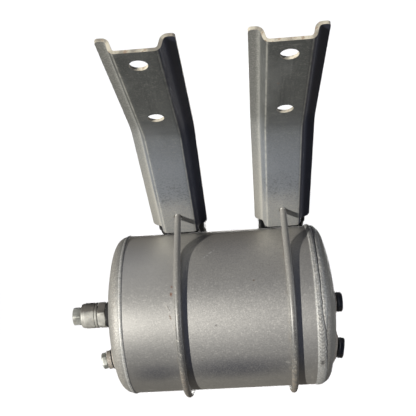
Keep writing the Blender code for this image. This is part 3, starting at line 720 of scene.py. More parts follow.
LOOKS = {
    "tank": paint_look(
        "tank_paint_worn", (0.29, 0.284, 0.269), (0.324, 0.317, 0.3), (0.56, 0.54, 0.5),
        marks=tank_marks, dust_amount=0.18, grit_amount=0.13,
    ),
    "head": paint_look(
        "head_paint_worn", (0.146, 0.145, 0.137), (0.176, 0.174, 0.163), (0.33, 0.32, 0.29),
        (0.6, 0.7), head_marks, metallic=0.4, dust_amount=0.25, grit_amount=0.3,
    ),
    "weld": paint_look(
        "weld_painted", (0.176, 0.177, 0.172), (0.212, 0.213, 0.206), (0.4, 0.4, 0.385),
        (0.58, 0.68), weld_marks, metallic=0.4, dust_amount=0.7,
    ),
    "boss": paint_look(
        "boss_painted", (0.15, 0.13, 0.11), (0.22, 0.195, 0.165), (0.36, 0.31, 0.25),
        (0.6, 0.7), weld_marks, metallic=0.3,
    ),
    "bracket": paint_look(
        "bracket_paint_worn", (0.05, 0.053, 0.052), (0.073, 0.077, 0.075), (0.24, 0.24, 0.22),
        (0.46, 0.58), bracket_marks, metallic=0.35, dust_amount=0.35,
    ),
    # Near black paint that is painted shade: these parts lie in shade behind the brackets and under
    # the tank.
    "saddle": paint_look(
        "saddle_paint_worn_and_painted_shade", (0.013, 0.014, 0.017), (0.026, 0.027, 0.03), (0.09, 0.087, 0.08),
        metallic=0.2,
    ),
    "rod": paint_look(
        "rod_paint_worn", (0.05, 0.0495, 0.049), (0.079, 0.078, 0.075), (0.29, 0.28, 0.25),
        (0.46, 0.6), rod_marks, metallic=0.25, dust_amount=0.6,
    ),
    "edge": bare_edge_look(),
    "zinc": metal_look(
        "zinc_plated", (0.22, 0.225, 0.205), (0.335, 0.34, 0.31), (0.17, 0.15, 0.115),
        (0.42, 0.6), 0.6,
    ),
    "valve": valve_look(),
    "brass": metal_look(
        "brass", (0.42, 0.3, 0.12), (0.62, 0.47, 0.22), (0.2, 0.13, 0.06), (0.25, 0.45), 1.0,
    ),
    "spring": metal_look(
        "spring_steel_wire", (0.34, 0.34, 0.35), (0.52, 0.52, 0.53), (0.2, 0.17, 0.14),
        (0.22, 0.4), 1.0,
    ),
    "plug": metal_look(
        "plug_blackened", (0.014, 0.015, 0.02), (0.034, 0.036, 0.044), (0.07, 0.062, 0.055),
        (0.38, 0.6), 0.1, 0.35,
    ),
    "rubber": rubber_look(),
}


# ---------------------------------------------------------------- vessel


def surface_radius(x):
    """The vessel's outer radius over the shell and the knuckle, for X on either side."""
    x = abs(x)
    if x < KNUCKLE_X:
        return RADIUS
    return RADIUS - KNUCKLE + sqrt(max(KNUCKLE**2 - (x - KNUCKLE_X) ** 2, 0))


def dome(inset, radius, steps):
    """Outer or inner wall of a head, from its shoulder to the axis, as (x, radius)."""
    centre = (KNUCKLE_X, RADIUS - KNUCKLE)
    points = arc(centre, KNUCKLE - inset, pi / 2, CROWN_LEAN, steps)
    points = [(x, min(r, radius)) for x, r in points]
    centre = (APEX_X - CROWN, 0)
    points += arc(centre, CROWN - inset, CROWN_LEAN, 0, 2 * steps)[1:]
    return points[:-1] + [(APEX_X - inset, 0)]


def port_place(side, offset):
    """The place of a boss's outer face, with +X pointing out of the head."""
    lean = asin(offset / CROWN)
    proud = LOWER_PROUD if offset else CENTRE_PROUD
    around = Matrix.Rotation(PORT_ANGLE if offset else 0, 4, "X")
    outward = Matrix.Rotation(lean if side > 0 else pi - lean, 4, "Z")
    centre = Matrix.Translation((side * (APEX_X - CROWN), 0, 0))
    return TANK @ centre @ around @ outward @ Matrix.Translation((CROWN + proud, 0, 0))


def add_shell():
    end = SEAM_X - GAP / 2
    inner = RADIUS - WALL
    rows = 28
    outline = [(-end, inner)]
    outline += [(-end + 2 * end * step / rows, RADIUS) for step in range(rows + 1)]
    outline += [(end, inner)]
    shell = turned(outline, circle(ROUND_STEPS))
    add_piece(new_object("vessel_shell", shell, TANK), "tank", "shell")


def add_head(name, side):
    skirt = RADIUS - WALL - GAP
    shoulder = SEAM_X + GAP / 2
    inner = dome(HEAD_WALL, skirt - HEAD_WALL, 8)[::-1]
    outline = [(SEAM_X - SKIRT, skirt), (shoulder, skirt), (shoulder, RADIUS)]
    outline += dome(0, RADIUS, 14) + inner + [(SEAM_X - SKIRT, skirt - HEAD_WALL)]
    outline = [(side * x, r) for x, r in outline]
    obj = new_object(f"vessel_{name}", turned(outline, circle(ROUND_STEPS)), TANK)
    places = port_place(side, 0), port_place(side, PORT_OFFSET)
    carve(obj, [drill(BOSS_RADIUS + GAP, -0.03, 0.01, place, 64) for place in places])
    add_piece(obj, "head", name)


class Bead:
    """Rows of points for a weld, with the crease and ridge marks that its material reads."""

    def __init__(self):
        self.rows, self.crease, self.ridge = [], [], []

    def point(self, place, crease=0.0, ridge=0.0):
        self.rows[-1].append(place)
        self.crease.append(crease)
        self.ridge.append(ridge)

    def add(self, name, look, node, place, closed=False):
        obj = new_object(name, skin(self.rows, closed), place)
        set_marks(obj, self.crease, self.ridge)
        add_piece(obj, look, node, 60)


def set_marks(obj, crease, ridge):
    for name, values in (("crease", crease), ("ridge", ridge)):
        layer = obj.data.attributes.new(name, "FLOAT", "POINT")
        layer.data.foreach_set("value", values)


def add_girth_bead(name, node, angles, columns, section):
    """A weld round the vessel. section(angle) gives the bead's edges and what makes its height."""
    bead = Bead()
    for angle in angles:
        bead.rows.append([])
        low, high, height = section(angle)
        for column in range(columns + 1):
            share = column / columns
            x = low + (high - low) * share
            up, crease, ridge = height(x, share)
            bead.point(polar(x, surface_radius(x) + GAP + up, angle), crease, ridge)
        for share in (1.0, 0.5, 0.0):
            x = low + (high - low) * share
            bead.point(polar(x, surface_radius(x) + ROOT_GAP, angle))
    bead.add(name, "weld", node, TANK, closed=True)


def scales(along, across, pitch, bow=0.55, power=2.0):
    """The stacked-coin ripple of a weld pass, bowed across the bead, from 0 to 1."""
    saw = (along / pitch - bow * (1 - abs(across) ** power)) % 1
    return sin(pi * saw) ** 0.7 * (0.55 + 0.45 * saw)


def hump(value, centre, width):
    """1 at the centre, and near 0 beyond twice the width."""
    return exp(-(((value - centre) / width) ** 2))


def right_section(angle):
    """The wide two-pass weld. Its passes part at a crease, with painted shade in it, over the upper
    front.
    """
    turn = degrees(angle) % 360
    along = angle * RADIUS
    toe = 0.136 + 0.0002 * grain(along * 60, 3.1, 0)
    drift = smooth(turn, 118, 150)
    crack = 0.1446 + 0.0042 * drift + 0.0008 * grain(along * 170, 0.7, 2) * (1 + drift)
    front = smooth(turn, 60, 76) * smooth(turn, 168, 156)
    second = smooth(turn, 22, 50) * smooth(turn, 150, 118)
    low_run = smooth(turn, 160, 170) * smooth(turn, 232, 214)
    far_side = 1 - smooth(turn, 10, 30) * smooth(turn, 240, 222)
    lively = 0.3 + 0.7 * max(smooth(turn, 121, 129), far_side)
    edge_high = max(crack, 0.1475 + 0.005 * second) + 0.0007 * grain(along * 90, 5, 1)
    half = (crack - toe) / 2

    def height(x, share):
        across = (x - toe - half) / half
        crown = max(1 - abs(across) ** 2.6, 0)
        ripple = 1 - lively * (1 - scales(along, across, 0.0056, 0.95, 1.2))
        strength = 1 - 0.75 * low_run
        up = 0.002 * crown * (0.62 + 0.38 * ripple) * strength
        up += 0.00025 * crown * grain(x * 400, along * 260, 0)
        beyond = (x - crack) / max(edge_high - crack, 0.0005)
        ledge = 0.0
        if 0 < beyond < 1:
            ledge = (1 - abs(2 * beyond - 1) ** 2.4) * second
            up += 0.0015 * ledge * (0.7 + 0.45 * grain(x * 380, along * 300, 4))
        if across > 1 and far_side > 0:
            up += 0.0006 * far_side * max(1 - beyond, 0)
        gap = hump(x, crack, 0.00062) * front
        foot = hump(x, toe, 0.0006)
        lip = hump(x, toe + 0.0014, 0.0008) * front * (1 - drift * 0.6)
        crater = hump(turn, 163, 2.2) * hump(x, 0.1425, 0.003)
        up += 0.0007 * lip - 0.0006 * gap - 0.0011 * crater
        # ridge and crease drive the weld material's painted highlight and painted shade.
        ridge = max(crown * ripple * 0.6, ledge * 0.7, lip) * (1 - gap)
        valley = 0.55 * crown * (1 - ripple) * strength
        crease = min(gap * 1.2 + 0.25 * foot * front + 0.6 * crater + valley, 1)
        rise = smooth(share, 0, 0.06) * smooth(share, 1, 0.94)
        return max(up, 0.0) * rise, crease, min(max(ridge, 0), 1)

    return toe - 0.0006, edge_high, height


def left_section(angle):
    """The narrow machine-made weld over the left girth seam."""
    width, seed = 0.0052, 2.5
    along = angle * RADIUS
    low = -SEAM_X - width / 2 + 0.0002 * grain(along * 50, seed, 0)

    def height(x, share):
        across = 2 * share - 1
        crown = 1 - abs(across) ** 2.2
        up = 0.001 * (0.8 + 0.2 * scales(along, across, 0.0032))
        up += 0.00012 * grain(x * 500, along * 300, seed)
        return max(up * crown, 0), 0.38 * hump(share, 0.95, 0.06), 0.6 * crown

    return low, low + width, height


def add_seam_weld():
    """The rolled shell's lengthwise seam, ending short of the girth welds."""
    bead = Bead()
    end, count, middle = SEAM_X - 0.008, 260, radians(300)
    for step in range(count + 1):
        x = -end + 2 * end * step / count
        taper = smooth(step, 0, 4) * smooth(step, count, count - 4)
        bead.rows.append([])
        for column in range(9):
            across = column / 4 - 1
            up = 0.00012 + 0.0009 * taper * (1 - abs(across) ** 2.2)
            up *= 0.8 + 0.2 * scales(x, across, 0.0036)
            spread = 0.003 * across * (0.6 + 0.4 * taper) + 0.00025 * grain(x * 60, 8, 0)
            place = polar(x, RADIUS + GAP + up, middle + spread / RADIUS)
            bead.point(place, 0.3 * abs(across) ** 6, 0.5 * (1 - abs(across)))
        for across in (1, -1):
            bead.point(polar(x, RADIUS + ROOT_GAP, middle + 0.0028 * across / RADIUS))
    bead.add("weld_lengthwise", "weld", "seam_weld", TANK)


def add_vessel():
    add_shell()
    add_head("head_left", -1)
    add_head("head_right", 1)
    add_girth_bead("weld_girth_right", "girth_weld_right", circle(1080), 34, right_section)
    add_girth_bead("weld_girth_left", "girth_weld_left", circle(720), 12, left_section)
    add_seam_weld()


# ---------------------------------------------------------------- ports


def hexagon_angles(turn):
    """Angles for a hexagon, close together at its corners."""
    offsets = (-30, -29.3, -28, -25, -18, -9, 0, 9, 18, 25, 28, 29.3)
    return [turn + radians(60 * side + 30 + offset) for side in range(6) for offset in offsets]


def hexagonal(flats, turn, low, high, thread=None):
    """A shape that cuts a turned blank to a hexagon between low and high."""

    def shape(x, angle, radius):
        if low - 1e-6 <= x <= high + 1e-6:
            near = flats / 2 / cos((angle - turn) % (pi / 3) - pi / 6)
            return soft_min(radius, min(near, flats / sqrt(3) - 0.0003), 0.0004)
        return thread(x, angle, radius) if thread else radius

    return shape


def groove(along, angle, pitch):
    """How deep in a thread's groove a point is, from 0 to 1."""
    return abs(2 * ((along / pitch - angle / (2 * pi)) % 1) - 1)


def port_thread(high):
    """A shape that runs a thread along a stub up to high."""
    low = -STUB_LENGTH

    def shape(x, angle, radius):
        if not low <= x <= high or abs(radius - STUB_RADIUS) > 1e-5:
            return radius
        ends = smooth(x, low, low + PORT_THREAD) * smooth(x, high, high - PORT_THREAD)
        return radius - 0.0009 * groove(x, angle, PORT_THREAD) * ends

    return shape


def stub_rows(low, high, radius, pitch):
    steps = max(int((high - low) / pitch * 6), 2)
    return [(low + (high - low) * step / steps, radius) for step in range(steps + 1)]


def hexagon_outline(low, high, flats, low_chamfer=True):
    """Outer half of a turned blank with both rims chamfered."""
    corner = flats / sqrt(3)
    face = flats / 2 - 0.0004
    depth = (corner - face) * tan(radians(30))
    points = [(low, corner)]
    if low_chamfer:
        points = [(low, face), (low + depth / 2, (face + corner) / 2), (low + depth, corner)]
    points += [((low + high) / 2, corner), (high - depth, corner)]
    return points + [(high - depth / 2, (face + corner) / 2), (high, face)]


def add_hexagon(name, outline, turn, shape, place, look, node):
    obj = new_object(name, turned(outline, hexagon_angles(turn), shape), place)
    add_piece(obj, look, node, 35)


def add_turned(name, corners, steps, count, place, look, node):
    shape = turned(rounded(corners, steps), circle(count))
    return add_piece(new_object(name, shape, place), look, node)


def ring(low, high, inner, outer, inner_size, outer_size):
    """The corners of a ring's section, with the size of each rounding."""
    low_side = [(low, inner, inner_size), (low, outer, outer_size)]
    return low_side + [(high, outer, outer_size), (high, inner, inner_size)]


def add_boss(name, side, offset):
    """The threaded boss, and the fillet weld that joins it to the head."""
    place = port_place(side, offset)
    proud = LOWER_PROUD if offset else CENTRE_PROUD
    corners = [
        (-BOSS_LENGTH, BOSS_BORE, 0.0008), (-BOSS_LENGTH, BOSS_RADIUS, 0.0008),
        (0, BOSS_RADIUS, 0.0012), (0, BOSS_BORE + 0.0008, 0), (-0.001, BOSS_BORE, 0),
    ]
    obj = add_turned(f"boss_{name}", corners, 3, 96, place, "boss", f"port_boss_{name}")
    count = len(obj.data.vertices)
    set_marks(obj, [0.0] * count, [0.3] * count)

    def ground(radius):
        return sqrt(CROWN**2 - radius**2) - CROWN - proud

    bead = Bead()
    root = BOSS_RADIUS + 0.0001
    reach, top = (0.0078, -0.0007) if offset else (0.0042, -proud + 0.0002)
    steps = 12
    for angle in circle(240):
        along = angle * 0.02
        wide = reach * (1 + 0.07 * grain(along * 180, 1, side + offset))
        bead.rows.append([])
        for step in range(steps + 1):
            share = step / steps
            across = 2 * share - 1
            radius = root + wide * share
            ripple = scales(along, across, 0.0031)
            up = (top - ground(radius)) * (1 - share**0.62)
            up += 0.00045 * ripple * (1 - abs(across) ** 2)
            up = max(up, 0.0) * smooth(share, 1.0, 0.93)
            crease = 0.5 * hump(share, 0, 0.08) + 0.35 * smooth(share, 0.9, 1)
            place_here = polar(ground(radius) + up + 0.0001, radius, angle)
            bead.point(place_here, crease, ripple * (1 - share))
        for radius in (BOSS_RADIUS + wide, root):
            bead.point(polar(ground(radius) + 0.00002, radius, angle))
    bead.add(f"weld_boss_{name}", "boss", None, place, closed=True)


def add_plug(name, size, turn, look, place):
    """Threaded stub, collar and hexagon head with a shallow dished face. A tall collar has an
    undercut below the hexagon, and the colour of the boss."""
    flats, rise, collar, height = size
    low = 2 * GAP + SEAL_THICKNESS
    top = low + rise
    high = low + height
    cut = UNDERCUT_LENGTH if rise > UNDERCUT_LENGTH * 2 else 0
    outline = [(-STUB_LENGTH, 0), (-STUB_LENGTH, STUB_RADIUS - 0.0012)]
    outline += stub_rows(-STUB_LENGTH + 0.001, low - 0.0012, STUB_RADIUS, PORT_THREAD)
    outline += [(low - 0.001, STUB_RADIUS - 0.001), (low, STUB_RADIUS - 0.001)]
    outline += [(low, collar - 0.0004), (low + 0.0004, collar), (top - 0.0005, collar)]
    outline += [(top, collar - 0.0005)]
    if cut:
        outline += [(top, UNDERCUT_RADIUS), (top + cut, UNDERCUT_RADIUS)]
    else:
        outline += [(top, flats / 2 - 0.0002)]
    outline += hexagon_outline(top + cut + 0.0001, high, flats, low_chamfer=False)
    dish = flats * 0.3
    outline += [(high, dish + 0.0008), (high - 0.0006, dish), (high - 0.0007, 0)]
    shape = hexagonal(flats, turn, top + cut + 0.00005, high, port_thread(low - 0.001))
    obj = new_object(f"plug_head_{name}", turned(outline, hexagon_angles(turn), shape), place)
    inwards = place.inverted()
    for polygon in obj.data.polygons:
        if cut and 0 < (inwards @ polygon.center).x < top:
            polygon.material_index = 1
    add_piece(obj, (look, "boss") if cut else look, f"plug_{name}", 35)


def add_valve(place):
    """Non-return valve: sealing ring, drawn wide and near black as painted shade, adapter, round
    body, end nut, poppet and spring.
    """
    # The sealing ring is drawn wide and near black, as painted shade in the gap between the adapter
    # and the head.
    corners = [
        (-0.0025, 0.0183, 0.0003), (-0.0025, 0.0202, 0.0006), (0.0066, 0.0202, 0.001),
        (0.0066, SEAL_INNER, 0.0004), (GAP, SEAL_INNER, 0.0003), (GAP, 0.0183, 0),
    ]
    add_turned("seal_valve_and_painted_shade", corners, 4, 96, place, "rubber", "valve_seal")

    low, high, flats, turn = 0.0069, 0.0202, 0.038, radians(9)
    outline = [(-STUB_LENGTH, 0.004), (-STUB_LENGTH, STUB_RADIUS - 0.001)]
    outline += stub_rows(-STUB_LENGTH + 0.001, low - 0.001, STUB_RADIUS, PORT_THREAD)
    outline += [(low, STUB_RADIUS - 0.001)]
    outline += hexagon_outline(low, high, flats) + [(high, 0.004)]
    shape = hexagonal(flats, turn, low, high, port_thread(low - 0.001))
    add_hexagon("valve_hexagon", outline, turn, shape, place, "valve", "valve_adapter")

    body, chamber, seat = 0.0202, 0.0125, 0.0083
    corners = [
        (0.0205, chamber, 0), (0.0205, body, 0.0008), (0.0236, body, 0.0004),
        (0.024, body - 0.0007, 0.0003), (0.0248, body - 0.0007, 0.0003), (0.0252, body, 0.0004),
        (0.0405, body, 0.0004), (0.0408, body - 0.0005, 0.0003), (0.0415, body - 0.0006, 0.0003),
        (0.047, body - 0.001, 0.005), (0.047, seat, 0.0005), (0.039, seat, 0),
        (0.039, chamber, 0),
    ]
    add_turned("valve_barrel", corners, 6, 120, place, "valve", "valve_body")

    low, high, flats, turn, bore = 0.0473, 0.061, 0.027, radians(55), 0.005
    outline = [(low - 0.006, bore), (low - 0.006, 0.0076)]
    outline += stub_rows(low - 0.0055, low - 0.0006, 0.008, 0.001)
    outline += [(low, 0.0075)]
    outline += hexagon_outline(low, high, flats)
    outline += [(high, 0.0078), (high - 0.0009, 0.0066), (high - 0.0012, bore + 0.0004)]
    outline += stub_rows(high - 0.0085, high - 0.0016, bore, 0.001)[::-1]
    shape = hexagonal(flats, turn, low, high)
    add_hexagon("valve_nut", outline, turn, shape, place, "zinc", "valve_end_nut")

    seat_x = 0.039 - GAP
    back = seat_x - 0.0025
    corners = [
        (back - 0.0105, 0, 0), (back - 0.0105, 0.0022, 0.0006), (back, 0.0022, 0.0006),
        (back, 0.0105, 0.0004), (seat_x, 0.0105, 0.0006), (seat_x - 0.0003, 0.007, 0.0003),
        (seat_x - 0.0003, 0, 0),
    ]
    add_turned("valve_disc", corners, 3, 72, place, "brass", "valve_poppet")
    add_spring(place, 0.0211, back - 0.0009)


def add_spring(place, low, high):
    """A coil whose end turns lie flat. It shortens as the poppet opens."""
    turns, per_turn, radius, wire = 5, 36, 0.0058, 0.0006
    total = turns * per_turn
    centres = []
    for step in range(total + 1):
        along = low + (high - low) * smooth(step / total, -0.06, 1.06)
        centres.append(Vector(polar(along, radius, 2 * pi * step / per_turn)))
    coil = skin(tube_rows(centres, lambda travelled, angle: wire, 12))
    obj = add_piece(new_object("spring_coil", coil, place), "spring", "valve_spring")
    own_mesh(obj)


def tube_rows(centres, radius_at, sides):
    """Rings along a line of centres. radius_at(travelled, angle) gives the tube's radius."""
    rows, travelled = [], 0.0
    side = None
    for index, centre in enumerate(centres):
        before = centres[max(index - 1, 0)]
        after = centres[min(index + 1, len(centres) - 1)]
        along = (after - before).normalized()
        if side is None:
            side = along.orthogonal().normalized()
        side = (side - along * side.dot(along)).normalized()
        other = along.cross(side)
        travelled += (centre - before).length
        row = []
        for angle in circle(sides):
            size = radius_at(travelled, angle)
            row.append(centre + side * size * cos(angle) + other * size * sin(angle))
        rows.append(row)
    return rows


def add_ports():
    """The valve and the three plugs. A plug's size is its flats, collar height, collar radius
    and height over all."""
    plug_right = (0.027, 0.0022, 0.0158, 0.0082)
    plug_left = (0.022, 0.0066, 0.014, 0.015)
    add_boss("left_centre", -1, 0)
    add_valve(port_place(-1, 0))
    seal = ring(GAP, GAP + SEAL_THICKNESS, SEAL_INNER, SEAL_OUTER, 0.0003, 0.0006)
    for name, side, offset, size, turn, look in (
        ("left_lower", -1, PORT_OFFSET, plug_left, 38, "zinc"),
        ("right_centre", 1, 0, plug_right, 30, "plug"),
        ("right_lower", 1, PORT_OFFSET, plug_right, 22, "plug"),
    ):
        place = port_place(side, offset)
        add_boss(name, side, offset)
        add_turned(f"seal_{name}", seal, 4, 96, place, "rubber", f"plug_seal_{name}")
        add_plug(name, size, radians(turn), look, place)


# ---------------------------------------------------------------- brackets


def hat_section():
    """Closed outline of the pressed sheet as (across, depth); depth 0 is the crown's face."""
    front, back = SHEET / 2, HAT_DEPTH - SHEET / 2
    half = [(FLANGE_HALF, back, 0), (BASE_HALF, back, 0.0062), (CROWN_HALF, front, 0.0052)]
    corners = [(-x, y, size) for x, y, size in half] + half[::-1]
    middle = rounded(corners, 7, closed=False)
    return offset_line(middle, SHEET / 2), offset_line(middle, -SHEET / 2)[::-1]


def bend_stations():
    """Places up the bracket as (y, z, lean), along the crown's front face."""
    centre_y = -HAT_DEPTH - BEND_RADIUS
    centre_z = BEND_Z + BEND_RADIUS * tan(TILT / 2)
    low_y = -HAT_DEPTH - LOWER_LENGTH * sin(TILT)
    low_z = BEND_Z - LOWER_LENGTH * cos(TILT)
    stations = [(low_y, low_z, TILT)]
    for step in range(13):
        lean = TILT * (1 - step / 12)
        y, z = centre_y + BEND_RADIUS * cos(lean), centre_z - BEND_RADIUS * sin(lean)
        stations.append((y, z, lean))
    return stations + [(-HAT_DEPTH, TOP_Z, 0)]


def along_y(x, y, z):
    """A place whose X points along Y."""
    return Matrix.Translation((x, y, z)) @ Matrix.Rotation(pi / 2, 4, "Z")


def corner_scrap(side, end_z, inward, radius, low, high):
    """The waste outside a rounded flange corner."""
    centre = (side * (FLANGE_HALF - radius), end_z + inward * radius)
    start = pi / 2 * (1 - side)
    points = arc(centre, radius, start, start - side * inward * pi / 2, 8)
    beyond = end_z - inward * 0.002
    edge = side * (FLANGE_HALF + 0.002)
    points += [(centre[0], beyond), (edge, beyond), (edge, centre[1])]
    return prism(points, low, high, "Y")


def clamp_place(side):
    """The tank's own directions, at a bracket's X."""
    return Matrix.Translation((BRACKET_X[side] - TANK_CENTRE.x, 0, 0)) @ TANK


def mark_cut_faces(obj, section_size, first_size):
    """Sheared faces, at the sheet's ends and rims, take the second material."""
    sheared = {first_size - 1, section_size - 1}
    for polygon in obj.data.polygons:
        end = len(polygon.vertices) > 4
        rim = len(polygon.vertices) == 4 and polygon.index % section_size in sheared
        polygon.material_index = 1 if end or rim else 0


def add_bracket(side):
    outer, inner = hat_section()
    section = outer + inner
    rows = []
    for y, z, lean in bend_stations():
        rows.append([(x, y + depth * cos(lean), z - depth * sin(lean)) for x, depth in section])
    place = Matrix.Translation((BRACKET_X[side], 0, 0))
    obj = new_object(f"hat_{side}", skin(rows), place)
    mark_cut_faces(obj, len(section), len(outer))
    for look in ("bracket", "edge"):
        obj.data.materials.append(LOOKS[look])
    cutters = []
    for z in (HOLE_PITCH / 2, -HOLE_PITCH / 2):
        cutters.append(drill(CHASSIS_HOLE, -0.02, 0.03, place @ along_y(0, -HAT_DEPTH, z)))
    tilted = clamp_place(side)
    cutters.append(drill(LEG_HOLE, -0.004, 0.008, tilted @ along_y(0, CROWN_Y, ROD_CENTRE)))
    for hand in (-1, 1):
        scrap = corner_scrap(hand, TOP_Z, -1, 0.004, -HAT_DEPTH - 0.001, 0.002)
        cutters.append(new_object("scrap", scrap, place))
        scrap = corner_scrap(hand, LOW_Z, 1, 0.01, CROWN_Y - 0.001, FLANGE_BACK + 0.002)
        cutters.append(new_object("scrap", scrap, tilted))
    for cutter in cutters:
        cutter.data.materials.append(LOOKS["edge"])
    carve(obj, cutters)
    ease_edges(obj, 0.0006, material=1)
    add_piece(obj, ("bracket", "edge"), f"bracket_{side}")


# ---------------------------------------------------------------- clamps


def add_saddle(side):
    front = FLANGE_BACK + GAP
    radius = CRADLE_OUTER + GAP
    reach = acos(front / radius)
    knees = [(SADDLE_BACK, SADDLE_KNEE, 0.012), (SADDLE_BACK, -SADDLE_KNEE, 0.012)]
    back = rounded([(*SADDLE_TOP, 0), *knees, (*SADDLE_FOOT, 0)], 5, closed=False)
    outline = [(front, SADDLE_TOP[1])] + back + [(front, SADDLE_FOOT[1])]
    outline += arc((0, 0), radius, -reach, reach, 48)
    place = clamp_place(side)
    obj = new_object(f"channel_{side}", prism(outline, -SADDLE_HALF, SADDLE_HALF), place)
    inside = [Vector(point) for point in offset_line(back, -SHEET)]
    inside[0] += (inside[0] - inside[1]).normalized() * SADDLE_BACK
    inside[-1] += (inside[-1] - inside[-2]).normalized() * SADDLE_BACK
    room = [tuple(point) for point in inside] + [(0, inside[-1].y), (0, inside[0].y)]
    half = SADDLE_HALF - SHEET
    carve(obj, [new_object("room", prism(room, -half, half), place)])
    ease_edges(obj, 0.0012, 3)
    add_piece(obj, "saddle", f"saddle_{side}")


def add_curved_plate(name, node, inner, outer, half_angle, half_width, side, look):
    half_angle = radians(half_angle)
    outline = arc((0, 0), inner, -half_angle, half_angle, 40)
    outline += arc((0, 0), outer, half_angle, -half_angle, 40)
    plate = prism(outline, -half_width, half_width)
    obj = new_object(f"{name}_{side}", plate, clamp_place(side))
    ease_edges(obj, 0.0006)
    add_piece(obj, look, f"{node}_{side}")


def add_foot_plate(side):
    half, size = 0.04, 0.005
    top = [(half, FOOT_TOP_Z, size), (-half, FOOT_TOP_Z, size)]
    foot = [(-half, SADDLE_FOOT[1], size), (half, SADDLE_FOOT[1], size)]
    low = FLANGE_BACK - SHEET
    place = clamp_place(side)
    plate = prism(rounded(top + foot, 6), low, FLANGE_BACK, "Y")
    obj = new_object(f"foot_{side}", plate, place)
    carve(obj, [drill(LEG_HOLE, -0.004, 0.008, place @ along_y(0, low, -ROD_CENTRE))])
    ease_edges(obj, 0.0006)
    add_piece(obj, "saddle", f"foot_plate_{side}")


def rod_thread(total):
    """A round bar, threaded at both ends and slightly uneven between them."""

    def radius_at(travelled, angle):
        from_end = min(travelled, total - travelled)
        if from_end > ROD_THREAD_LENGTH:
            return ROD_RADIUS * (1 + 0.008 * grain(travelled * 90, cos(angle), 0))
        ends = smooth(from_end, 0, 0.0012)
        ends *= smooth(from_end, ROD_THREAD_LENGTH, ROD_THREAD_LENGTH - 0.002)
        tip = 0.001 * smooth(from_end, 0.0012, 0)
        return ROD_RADIUS - 0.0007 * groove(travelled, angle, ROD_THREAD) * ends - tip

    return radius_at


def add_u_bolt(side):
    leg_steps = int(LEG_END / 0.00027)
    leg = [LEG_END * step / leg_steps for step in range(1, leg_steps + 1)]
    centres = [Vector((0, y, ROD_CENTRE)) for y in leg[::-1]]
    for step in range(161):
        centres.append(Vector(polar(0, ROD_CENTRE, radians(90 + 180 * step / 160))))
    centres += [Vector((0, y, -ROD_CENTRE)) for y in leg]
    total = sum((after - before).length for before, after in zip(centres, centres[1:]))
    rows = tube_rows(centres, rod_thread(total), 24)
    add_piece(new_object(f"rod_{side}", skin(rows), clamp_place(side)), "rod", f"u_bolt_{side}", 50)


def add_nut_and_washer(name, place, z, seat_y):
    corners = ring(0, WASHER_THICKNESS, 0.0056, 0.0105, 0.0003, 0.0004)
    washer_place = place @ along_y(0, seat_y + GAP, z)
    add_turned(f"disc_{name}", corners, 3, 60, washer_place, "zinc", f"washer_{name}")
    flats, high, bore, turn = 0.0165, 0.0085, 0.0054, pi / 2
    outline = [(0.0006, bore), (0, bore + 0.0006)] + hexagon_outline(0, high, flats)
    outline += [(high, bore + 0.0006), (high - 0.0006, bore)]
    nut_place = place @ along_y(0, seat_y + WASHER_THICKNESS + 2 * GAP, z)
    shape = hexagonal(flats, turn, 0, high)
    add_hexagon(f"hex_{name}", outline, turn, shape, nut_place, "zinc", f"nut_{name}")


def add_fillet(name, start, end, hand, size, side):
    """A hand-laid fillet weld from start to end, in the corner between the saddle's side and
    the back of the flange or foot plate."""
    start, end, first, second = Vector(start), Vector(end), Vector((hand, 0, 0)), Vector((0, 1, 0))
    length = (end - start).length
    count = int(length / 0.0006)
    bead = Bead()
    for step in range(count + 1):
        share = step / count
        along = length * share
        taper = 0.25 + 0.75 * smooth(along, 0, 0.004) * smooth(along, length, length - 0.004)
        centre = start.lerp(end, share)
        reach = size * taper * (1 + 0.1 * grain(along * 150, size * 900, start.z * 30))
        bead.rows.append([])
        bead.point(centre - (first + second) * 0.0004)
        for angle_step in range(9):
            angle = pi / 2 * angle_step / 8
            across = abs(angle_step / 4 - 1)
            ripple = scales(along, angle_step / 4 - 1, 0.0034)
            out = reach * (0.8 + 0.2 * across + 0.1 * ripple * (1 - across))
            place = centre + first * out * cos(angle) + second * out * sin(angle)
            bead.point(place, 0.4 * across**4, ripple * (1 - across))
    bead.add(name, "weld", None, clamp_place(side))


def add_clamp_welds(side):
    """Saddle to bracket flange, and saddle to foot plate."""
    for hand, label in ((-1, "outer"), (1, "inner")):
        for name, low, high, size in (
            ("flange", LOW_Z + 0.004, SADDLE_TOP[1] - 0.004, 0.0042),
            ("foot", SADDLE_FOOT[1] + 0.004, FOOT_TOP_Z - 0.003, 0.003),
        ):
            start, end = [(hand * SADDLE_HALF, FLANGE_BACK, z) for z in (low, high)]
            add_fillet(f"fillet_{name}_{side}_{label}", start, end, hand, size, side)


def add_clamps():
    for side in ("left", "right"):
        add_bracket(side)
        add_saddle(side)
        for name, node, inner, outer, half_angle, half_width, look in (
            ("plate", "cradle", CRADLE_INNER, CRADLE_OUTER, 32, 0.027, "saddle"),
            ("strip", "liner", LINER_INNER, LINER_OUTER, 36, 0.026, "rubber"),
        ):
            add_curved_plate(name, node, inner, outer, half_angle, half_width, side, look)
        add_foot_plate(side)
        add_u_bolt(side)
        place = clamp_place(side)
        add_nut_and_washer(f"{side}_upper", place, ROD_CENTRE, CROWN_Y + SHEET)
        add_nut_and_washer(f"{side}_lower", place, -ROD_CENTRE, FLANGE_BACK)
        add_clamp_welds(side)


# ---------------------------------------------------------------- studio


def add_floor():
    low = cad_box[0].z - 0.0006
    rows = [[(x * 0.5 - 4, y * 0.5 - 4, low) for x in range(17)] for y in range(17)]
    obj = new_mesh("floor", *skin(rows, ring=False))
    obj.data.materials.append(floor_look())
    obj.visible_diffuse = False
    obj.visible_glossy = False
    return obj


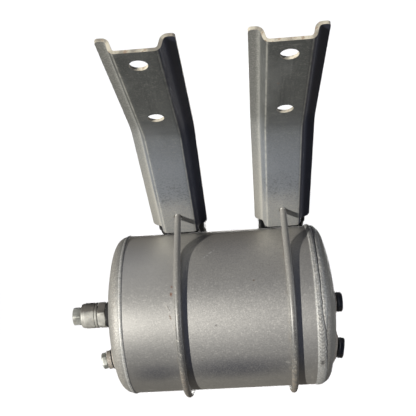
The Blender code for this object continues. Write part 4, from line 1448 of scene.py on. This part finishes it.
def add_lamp(name):
    towards, strength, width, colour = LAMPS[name]
    lamp = bpy.data.lights.new(name, "SUN")
    lamp.energy = strength
    lamp.angle = radians(width)
    lamp.color = colour
    lamp.use_shadow = name not in ("floor_lamp", "under_light")
    obj = bpy.data.objects.new(name, lamp)
    bpy.context.scene.collection.objects.link(obj)
    obj.rotation_euler = Vector(towards).to_track_quat("Z", "Y").to_euler()
    return obj


def link_floor(lamp, floor, state):
    """Says whether a lamp lights the floor alone, or everything but the floor."""
    group = bpy.data.collections.new(f"{lamp.name}_link")
    group.objects.link(floor)
    group.collection_objects[0].light_linking.link_state = state
    lamp.light_linking.receiver_collection = group


def add_lamps():
    """The floor has its own lamp instead of the key, so that its brightness is even."""
    floor = add_floor()
    link_floor(add_lamp("key"), floor, "EXCLUDE")
    link_floor(add_lamp("floor_lamp"), floor, "INCLUDE")
    add_lamp("under_light")
    add_lamp("side_fill")


def add_world():
    """Soft surroundings: warm dim ground and a bluish ceiling, with a darker band between them.
    The camera sees plain pale paper instead."""
    world = bpy.data.worlds.new("studio")
    bpy.context.scene.world = world
    graph = Graph(world)
    z = graph.axes(graph.node("TexCoord").outputs["Generated"])[2]
    height = graph.node("MapRange", {"Value": z, "From Min": -1.0}).outputs["Result"]
    ramp = graph.node("ValToRGB", {0: height})
    stops = ramp.color_ramp.elements
    for position, colour in SURROUNDINGS:
        ends = {0.0: 0, 1.0: -1}
        stop = stops[ends[position]] if position in ends else stops.new(position)
        stop.color = (*colour, 1)
    seen = graph.node("LightPath").outputs["Is Camera Ray"]
    paper = graph.mix(seen, ramp.outputs[0], PAPER)
    graph.feed(graph.tree.nodes["Background"].inputs[0], paper)


def add_camera():
    data = bpy.data.cameras.new("camera")
    data.sensor_width = SENSOR
    data.lens = LENS
    camera = bpy.data.objects.new("camera", data)
    bpy.context.scene.collection.objects.link(camera)
    camera.location = CAMERA_PLACE
    camera.rotation_euler = [radians(turn) for turn in CAMERA_TURN]
    bpy.context.scene.camera = camera


add_camera()
add_vessel()
add_ports()
add_clamps()
add_lamps()
add_world()
bpy.context.scene.view_settings.view_transform = "Standard"
